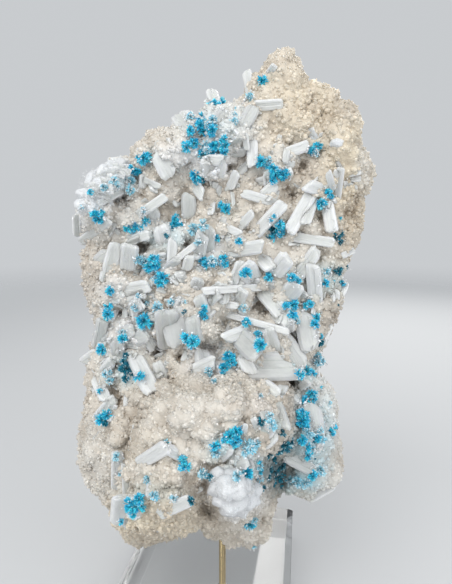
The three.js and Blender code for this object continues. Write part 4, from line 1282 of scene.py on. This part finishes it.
PALE = [
    [250, 96.5, 7], [234, 122, 7], [208, 125, 8], [213, 120, 7], [205, 146, 7], [207, 150, 6],
    [316, 153, 6], [116, 186, 6], [81, 208, 4], [130, 182, 8], [130, 190, 8], [139, 226, 6],
    [197, 180, 6], [269, 161, 6], [193, 229, 9], [203, 225, 8], [198, 243, 6], [139, 260, 8],
    [145, 262, 8], [157, 275, 11], [139, 296, 5], [157, 308, 9], [135, 308, 6], [171, 303, 6],
    [122, 332, 5], [212, 261, 8], [218, 262, 6], [243, 308, 7], [247, 308, 4], [296, 321, 6],
    [326, 271, 8], [317, 357, 8], [322, 361, 7], [318, 362, 8], [105, 374, 6], [110, 372, 5],
    [98, 418, 6], [209, 372, 7], [214, 381, 5], [216, 452, 8], [271, 426, 5], [261, 396, 4],
    [300, 372, 7], [329, 404, 7], [309, 432, 9], [322, 440, 7], [312, 449, 7], [320, 431, 6],
    [148, 479, 7], [154, 496, 8], [203, 474, 8], [238, 476, 7], [259, 466, 6], [260, 478, 6],
    [174, 498, 5], [254, 520, 7], [320, 470, 9], [297, 482, 9], [306, 484, 9], [289, 480, 8],
    [270, 425, 8], [255, 443, 7], [270, 416, 6], [238, 110, 6], [235, 115.5, 6], [190.5, 116, 7],
    [114, 180, 7], [104, 187, 6], [143, 210, 5], [147, 305, 6], [184, 303, 5], [110, 381, 7],
    [117, 456, 7], [249, 446, 10], [245, 451, 7], [121, 473, 5], [254, 545, 6],
]
# Rosettes painted dark as shade, in the hollow right of the lobe and in a few other places.
SHADE_PAINTED_ROSETTES = [
    [175, 230, 6], [166, 235, 5], [202, 180, 7], [272, 230, 8], [269, 236, 6], [340, 233, 8],
    [336, 238, 8], [339, 241, 7], [126, 355, 7], [184, 312, 4], [339, 271, 8], [345, 267, 6],
    [336, 305, 5], [320, 342, 7], [124, 362, 6], [126, 369, 11], [132, 374, 5], [126, 379, 6],
    [106, 423, 7], [262, 422, 7], [259, 462, 5], [314, 440, 5], [314, 457, 5], [281, 432, 7],
    [284, 445, 10], [210, 477, 5], [191, 501, 6], [267, 470, 8], [272, 480, 10], [278, 476, 10],
    [282, 465, 8], [285, 475, 8], [279, 485, 7], [273, 460, 7], [264, 488, 5], [266, 476, 8],
    [269, 454, 7], [278, 450, 8], [290, 441, 7], [275, 470, 8],
]
# A rosette's needles reach past its listed width by this factor. Its middle stands off what it has grown on
# by a share of its radius and by some mm.
ROSETTE_SPREAD = 1.42
ROSETTE_RISE = 0.35
ROSETTE_LIFT = 0.8
# Needles of a rosette of this radius in mm, the power by which they grow with it, and the fewest.
NEEDLES = 120
NEEDLES_RADIUS = 1.7
NEEDLES_POWER = 1.5
NEEDLES_FEWEST = 30
# The tufts: how many, how far they lean outward, how much of that is flattened again, the spread of their
# needles, and their reach as a share of the radius.
TUFTS = 14
TUFT_OUTWARD = 0.4
TUFT_FLATNESS = 0.45
TUFT_SPREAD = 0.28
TUFT_REACH = (0.6, 1.15)
# A needle that would point this far into the rock is turned round. Then its tilt, its length as a share of
# its tuft's reach, its half-width in mm for a radius of 1 mm, and the spread of that.
NEEDLE_INWARD = 0.35
NEEDLE_TILT = 0.05
NEEDLE_LENGTH = (0.75, 1.1)
NEEDLE_WIDTH = 0.145
NEEDLE_WIDTHS = (0.5, 1.5)
# A lance-shaped needle of four faces, widest near its tip, its inner end hidden in the rosette.
NEEDLE_SHAPE = np.array([[0, 0, 0], [1, 0.5, 0.72], [-1, 0.5, 0.78], [0, -0.5, 1]])
NEEDLE_FACES = np.array([[0, 2, 1], [0, 3, 2], [0, 1, 3], [1, 2, 3]])
# The darkest and the lightest needles of each tone, and the spread of their lightness.
TONES = {
    "vivid": ((0.003, 0.40, 0.78), (0.09, 0.88, 1.0)),
    "pale": ((0.16, 0.68, 0.90), (0.70, 0.94, 1.0)),
    # The vivid blue painted dark as shade.
    "shaded_blue": ((0.003, 0.09, 0.15), (0.02, 0.36, 0.50)),
}
TONE_SPREAD = (0.7, 1.15)
# Some needles are painted light as glints: the glint colour, how many needles take it and how far.
PAINTED_GLINT = (0.62, 0.93, 1.0)
PAINTED_GLINTS = 0.12
PAINTED_GLINT_STRENGTH = 0.6
# Painted shade: a needle is painted darker at its inner end, deep in the rosette, and lighter towards its
# tip.
# Its lightness at the inner end, and what it gains towards its tip.
INNER_PAINTED_SHADE = 0.3
TIP_SHADE_GAIN = 0.75


def on_crystals(u, v, lift):
    """The point where the sightline through (u, v) first meets a blade, a ball or the crust, moved lift mm
    towards the eye."""
    line = unit(sightline(u, v))
    reach = ((on_face(u, v, 0) - EYE) * line).sum(1)
    for number, direction in enumerate(line):
        distance = STILBITE.ray_cast(EYE, direction, reach[number])[3]
        reach[number] = distance or reach[number]
    return EYE + line * (reach - lift)[:, None]


def rosette_seats(u, v, width):
    """Radius and middle of rosettes, each seated on what shows at (u, v), and the direction to the eye."""
    radius = width * GRID_STEP * ROSETTE_SPREAD / 2
    middle = on_crystals(u, v, radius * ROSETTE_RISE + ROSETTE_LIFT)
    return radius, middle, unit(EYE - middle)


def needle_sprays(rows, tone, seed):
    """Needles of each rosette, gathered in tufts that point at random over all but the rock side of a
    sphere: each tuft has its own reach, and each needle its own stray, width and colour between the tone's
    two. Gives corners, triangles and colours."""
    rng = np.random.default_rng(seed)
    radius, middle, outward = rosette_seats(*np.array(rows, float).T)
    count = NEEDLES * (radius / NEEDLES_RADIUS) ** NEEDLES_POWER
    owner = np.repeat(np.arange(len(rows)), np.maximum(NEEDLES_FEWEST, count).astype(int))
    tuft = rng.integers(0, TUFTS, len(owner))
    heading = rng.standard_normal((len(rows), TUFTS, 3)) + TUFT_OUTWARD * outward[:, None]
    heading -= TUFT_FLATNESS * (heading * outward[:, None]).sum(2)[..., None] * outward[:, None]
    stray = TUFT_SPREAD * rng.standard_normal((len(owner), 3))
    direction = unit(unit(heading)[owner, tuft] + stray)
    facing = (direction * outward[owner]).sum(1)
    direction -= np.where(facing < -NEEDLE_INWARD, 2 * facing, 0)[:, None] * outward[owner]
    axis, side, other = axes(direction, NEEDLE_TILT, rng)
    reach = rng.uniform(*TUFT_REACH, (len(rows), TUFTS))[owner, tuft]
    length = radius[owner] * reach * rng.uniform(*NEEDLE_LENGTH, len(owner))
    thick = NEEDLE_WIDTH * radius[owner] ** 0.5 * rng.uniform(*NEEDLE_WIDTHS, len(owner))
    size = np.stack([thick, thick, length], 1)
    corners, faces = copies(NEEDLE_SHAPE, NEEDLE_FACES, middle[owner], side, other, axis, size)

    darkest, lightest = (np.array(colour) for colour in TONES[tone])
    share = rng.random(len(owner))[:, None]
    colour = (darkest + (lightest - darkest) * share) * rng.uniform(*TONE_SPREAD, (len(owner), 1))
    # Painted highlight: some needles are painted pale as glints.
    painted_glint = (rng.random((len(owner), 1)) < PAINTED_GLINTS) * PAINTED_GLINT_STRENGTH
    colour += painted_glint * (np.array(PAINTED_GLINT) - colour)
    # Painted shade: darker towards the needle's inner end, lighter towards its tip.
    shade = INNER_PAINTED_SHADE + TIP_SHADE_GAIN * NEEDLE_SHAPE[:, 2] ** 2
    colour = (colour[:, None] * shade[:, None]).reshape(-1, 3)
    return corners, faces, np.column_stack([colour, np.ones(len(colour))])


needle_material, tree, shader = new_material(
    "cavansite_needles", Roughness=0.35, IOR=1.54, Coat_Weight=0.05
)
streaks = noise(tree, object_place(tree), 900.0, 3.0)
shade = mix_colours(tree, streaks, (0.65, 0.7, 0.75, 1), (1.4, 1.35, 1.3, 1))
give_colour(tree, shader, attribute(tree, "needle_colour").outputs["Color"], shade)
give_bump(tree, shader, streaks, 0.3, 0.0001)

corners, faces, colour = joined([
    needle_sprays(VIVID, "vivid", 41), needle_sprays(PALE, "pale", 42), needle_sprays(SHADE_PAINTED_ROSETTES, "shaded_blue", 43),
])
rosettes = new_piece("cavansite_rosettes", corners, faces, needle_material, "matrix", needle_colour=colour)
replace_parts(rosettes, "cavansite_specimen")


# ---- The clear dust ------------------------------------------------------------------------------------
# Small white and clear stilbite crystals that sit between the blue needles, thickest on the pale rosettes,
# make the white bed that each rosette has grown on, and powder the balls and the left ledge.

# Half the width of a grain in mm, its height as a share of that, and its tilt.
DUST_SIZE = (0.15, 0.42)
DUST_HEIGHT = 1.4
DUST_TILT = 0.6
# How far out on its rosette it sits, as a share of the radius, and how much it keeps to the open side.
DUST_REACH = (0.6, 1.0)
DUST_OPENNESS = 0.7
# The bed: its reach from the rosette's middle as a share of its radius, its lift in mm, its larger grains.
BED_REACH = (0.6, 1.5)
BED_LIFT = (0.0, 0.8)
BED_GRAINS = 1.5
FROST_SIZE = (0.1, 0.26)
FROST_TILT = 0.8
# Lightness, tint and dullness of the dust.
DUST_TONE = (0.66, 0.86)
DUST_TINT = (0.97, 1, 1.02)
DUST_DULLNESS = 0.3
# Where the grains powder the plates of the left ledge: u, v, radius (steps).
POWDERED = [[96, 185, 18], [116, 171, 14], [92, 203, 14]]


def dust(rows, on_top, bed, seed):
    """Grains for each rosette: so many strewn over its open side, and so many in a bed round its foot."""
    rng = np.random.default_rng(seed)
    u, v, width = np.repeat(np.array(rows, float), on_top + bed, 0).T
    in_bed = np.tile(np.arange(on_top + bed) >= on_top, len(rows))
    turn = rng.uniform(0, 2 * np.pi, len(u))
    reach = rng.uniform(*BED_REACH, len(u)) * width * ROSETTE_SPREAD / 2
    lift = rng.uniform(*BED_LIFT, len(u))
    foot = on_crystals(u + reach * np.cos(turn), v + reach * np.sin(turn), lift)
    radius, middle, outward = rosette_seats(u, v, width)
    direction = unit(outward * DUST_OPENNESS + rng.standard_normal(middle.shape))
    points = middle + direction * (radius * rng.uniform(*DUST_REACH, len(u)))[:, None]
    points[in_bed] = foot[in_bed]
    axis, side, other = axes(direction, DUST_TILT, rng)
    half = rng.uniform(*DUST_SIZE, len(u)) * np.where(in_bed, BED_GRAINS, 1)
    size = np.stack([half, half, half * DUST_HEIGHT], 1)
    return copies(GRAIN_SHAPE, GRAIN_FACES, points, side, other, axis, size)


def frost(rows, count, seed):
    """Grains lying on whatever shows within a disc of each row's u, v and radius, even over its area."""
    rng = np.random.default_rng(seed)
    u, v, radius = np.repeat(np.array(rows, float)[:, :3], count, 0).T
    turn = rng.uniform(0, 2 * np.pi, len(u))
    reach = radius * np.sqrt(rng.random(len(u)))
    points = on_crystals(u + reach * np.cos(turn), v + reach * np.sin(turn), 0)
    axis, side, other = axes(unit(EYE - points), FROST_TILT, rng)
    half = rng.uniform(*FROST_SIZE, len(u))
    size = np.stack([half, half, half], 1)
    return copies(GRAIN_SHAPE, GRAIN_FACES, points, side, other, axis, size)


corners, faces = joined([
    dust(VIVID, on_top=2, bed=10, seed=51), dust(PALE, on_top=16, bed=12, seed=52),
    dust(SHADE_PAINTED_ROSETTES, on_top=2, bed=5, seed=53), frost(WHITE_BALLS, 70, 55), frost(POWDERED, 420, 56),
])
rng = np.random.default_rng(54)
shade = rng.uniform(*DUST_TONE, len(corners) // len(GRAIN_SHAPE))
colour = np.column_stack([shade[:, None] * DUST_TINT, np.full(len(shade), DUST_DULLNESS)])
clear_dust = new_piece(
    "clear_dust", corners, faces, sugar_material, "matrix",
    crystal_colour=np.repeat(colour, len(GRAIN_SHAPE), 0),
)
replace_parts(clear_dust, "cavansite_specimen")


# ---- The rod -------------------------------------------------------------------------------------------
# A 3 mm brass rod, drawn and lightly polished, its ends chamfered. It stands in the block's hole and reaches
# up into the hole drilled in the rock.

# The chamfer in mm, and how many sides stand for the round.
ROD_CHAMFER = 0.3
ROD_SIDES = 72


def turned(profile, sides, axis_x, axis_y):
    """A round closed body: a profile of (radius, height), from its foot up, turned about an upright axis."""
    turn = np.arange(sides) * 2 * np.pi / sides
    radius, height = np.array(profile, float).T
    across = axis_x + radius[:, None] * np.cos(turn)
    along = axis_y + radius[:, None] * np.sin(turn)
    rings = np.stack([across, along, np.repeat(height[:, None], sides, 1)], -1).reshape(-1, 3)
    ends = np.array([[axis_x, axis_y, height[0]], [axis_x, axis_y, height[-1]]])
    return np.concatenate([rings, ends]), tube_faces(len(profile), sides)


rod_low, rod_high = (np.array(corner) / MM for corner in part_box("rod"))
rod_middle = (rod_low + rod_high) / 2
rod_radius = (rod_high[0] - rod_low[0]) / 2
rod_profile = [
    (rod_radius - ROD_CHAMFER, rod_low[2]), (rod_radius, rod_low[2] + ROD_CHAMFER),
    (rod_radius, rod_high[2] - ROD_CHAMFER), (rod_radius - ROD_CHAMFER, rod_high[2]),
]
brass, tree, shader = new_material("drawn_brass", Metallic=1.0)
where = object_place(tree)
lengthwise = add_node(tree, "ShaderNodeMapping", {"Vector": where, "Scale": (1.0, 1.0, 0.03)}).outputs[0]
drawn = noise(tree, lengthwise, 3500.0, 3.0)
stain = noise(tree, where, 120.0, 4.0)
tone = mix_colours(tree, stain, (0.50, 0.38, 0.20, 1), (0.76, 0.62, 0.38, 1))
tree.links.new(tone, shader.inputs["Base Color"])
tree.links.new(ramp(tree, drawn, 0.0, 1.0, 0.14, 0.34), shader.inputs["Roughness"])
give_bump(tree, shader, drawn, 0.15, 0.00005)
rod_points, rod_faces = turned(rod_profile, ROD_SIDES, *rod_middle[:2])
brass_rod = new_piece("brass_rod", rod_points, rod_faces, brass, "brass", smooth=True)
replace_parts(brass_rod, "rod")


# ---- The block -----------------------------------------------------------------------------------------
# A sawn and polished block of clear acrylic, 77 by 127 by 20 mm, its upper edges bevelled at 45 degrees,
# with a blind hole for the rod. Its edges are eased a hair and catch the light.

# The bevel, how far the edges are eased and in how many steps, and the hole's radius. Lengths are in mm.
BLOCK_BEVEL = 3
BLOCK_EASE = 0.18
BLOCK_EASE_STEPS = 2
SOCKET_RADIUS = 1.8
# Height of the hole's floor; the cutter stands as far out of the block above.
SOCKET_FLOOR = 8


def block_mesh(x, y, z):
    """The block, from its upper right back corner (x, y, z): a box whose top is drawn in by the bevel."""
    rings = [(x, y, 0), (x, y, z - BLOCK_BEVEL), (x - BLOCK_BEVEL, y - BLOCK_BEVEL, z)]
    corners = [
        (sx * half_x * MM, sy * half_y * MM, height * MM)
        for half_x, half_y, height in rings for sx, sy in ((-1, -1), (1, -1), (1, 1), (-1, 1))
    ]
    faces = [(3, 2, 1, 0), (8, 9, 10, 11)]
    for ring in (0, 4):
        faces += [(ring + k, ring + (k + 1) % 4, ring + 4 + (k + 1) % 4, ring + 4 + k) for k in range(4)]
    mesh = bpy.data.meshes.new("acrylic_block")
    mesh.from_pydata(corners, [], faces)
    return mesh


acrylic, tree, shader = new_material(
    "clear_acrylic", Base_Color=(0.985, 0.99, 0.99, 1), IOR=1.49, Transmission_Weight=1.0
)
scuffs = noise(tree, object_place(tree), 90.0, 8.0, 0.7)
tree.links.new(ramp(tree, scuffs, 0.55, 0.8, 0.01, 0.12), shader.inputs["Roughness"])

block_corner = np.array(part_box("base")[1]) / MM
block = bpy.data.objects.new("acrylic_block", block_mesh(*block_corner))
bpy.context.scene.collection.objects.link(block)
block.data.materials.append(acrylic)
socket_profile = [(SOCKET_RADIUS, SOCKET_FLOOR), (SOCKET_RADIUS, block_corner[2] + SOCKET_FLOOR)]
socket_points, socket_faces = turned(socket_profile, ROD_SIDES, *rod_middle[:2])
socket_mesh = bpy.data.meshes.new("socket_cutter")
socket_mesh.from_pydata((socket_points * MM).tolist(), [], socket_faces.tolist())
cutter = bpy.data.objects.new("socket_cutter", socket_mesh)
bpy.context.scene.collection.objects.link(cutter)
ease = block.modifiers.new("ease", "BEVEL")
ease.width = BLOCK_EASE * MM
ease.segments = BLOCK_EASE_STEPS
ease.limit_method = "ANGLE"
drill = block.modifiers.new("drill", "BOOLEAN")
drill.operation = "DIFFERENCE"
drill.solver = "EXACT"
drill.object = cutter
finished = bpy.data.meshes.new_from_object(block.evaluated_get(bpy.context.evaluated_depsgraph_get()))
block.modifiers.clear()
block.data = finished
bpy.data.objects.remove(cutter)
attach(block, "root")
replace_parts(block, "base")


# ---- Table, light and camera ---------------------------------------------------------------------------
# A plain pale table that fades into the studio's pale air, large soft lights before, beside and behind the
# piece, and the camera at the eye of the sighting grid, looking along the middle of its view.

# In metres: the table's side, how far its top lies below the block, and how far from the middle it is plain
# and quite gone.
TABLE_SIZE = 4.0
TABLE_DROP = 0.0002
TABLE_PLAIN = 0.35
TABLE_GONE = 1.8
# The sensor's longer side in mm, and the height of the view in steps of the grid.
FILM = 36
FRAME_HEIGHT = 584

bpy.ops.mesh.primitive_plane_add(size=TABLE_SIZE, location=(0, 0, -TABLE_DROP))
table = bpy.context.object
table.name = "table"
table_material, tree, shader = new_material("pale_table", Base_Color=(0.54, 0.55, 0.56, 1), Roughness=0.8)
away = add_node(tree, "ShaderNodeVectorMath", {0: object_place(tree)}, operation="LENGTH").outputs["Value"]
fade = ramp(tree, away, TABLE_PLAIN, TABLE_GONE, 1.0, 0.0, interpolation_type="SMOOTHSTEP")
tree.links.new(fade, shader.inputs["Alpha"])
table.data.materials.append(table_material)

world = bpy.data.worlds.new("studio")
world.use_nodes = True
background = next(node for node in world.node_tree.nodes if node.type == "BACKGROUND")
background.inputs["Color"].default_value = (0.88, 0.91, 0.94, 1)
background.inputs["Strength"].default_value = 0.66
bpy.context.scene.world = world
bpy.context.scene.view_settings.view_transform = "Standard"


def soft_light(name, place, aim, size, power, colour):
    """A square area light at a place, turned to face the aim."""
    lamp = bpy.data.lights.new(name, "AREA")
    lamp.size = size
    lamp.energy = power
    lamp.color = colour
    light = bpy.data.objects.new(name, lamp)
    light.location = place
    direction = np.array(aim) - np.array(place)
    level = math.hypot(direction[0], direction[1])
    light.rotation_euler = (math.atan2(level, -direction[2]), 0, math.atan2(-direction[0], direction[1]))
    bpy.context.scene.collection.objects.link(light)


soft_light("key", (-0.28, -0.70, 0.80), (0, 0, 0.13), 0.6, 6.3, (1.0, 0.99, 0.97))
soft_light("front", (-0.12, -0.95, 0.06), (0, 0, 0.12), 0.7, 2.0, (1.0, 1.0, 1.0))
soft_light("fill", (0.75, -0.6, 0.45), (0, 0, 0.13), 0.9, 4.5, (0.97, 0.98, 1.0))
soft_light("back", (0.25, 0.8, 0.6), (0, 0, 0.14), 0.6, 4, (1.0, 0.98, 0.95))

camera = bpy.data.objects.new("camera", bpy.data.cameras.new("camera"))
camera.data.sensor_width = FILM
camera.data.lens = FILM * GRID_DISTANCE / GRID_STEP / FRAME_HEIGHT
camera.data.clip_start = 0.01
camera.location = EYE * MM
camera.rotation_euler = (math.pi / 2 - SIGHT_DROP, 0, SIGHT_TURN)
bpy.context.scene.collection.objects.link(camera)
bpy.context.scene.camera = camera
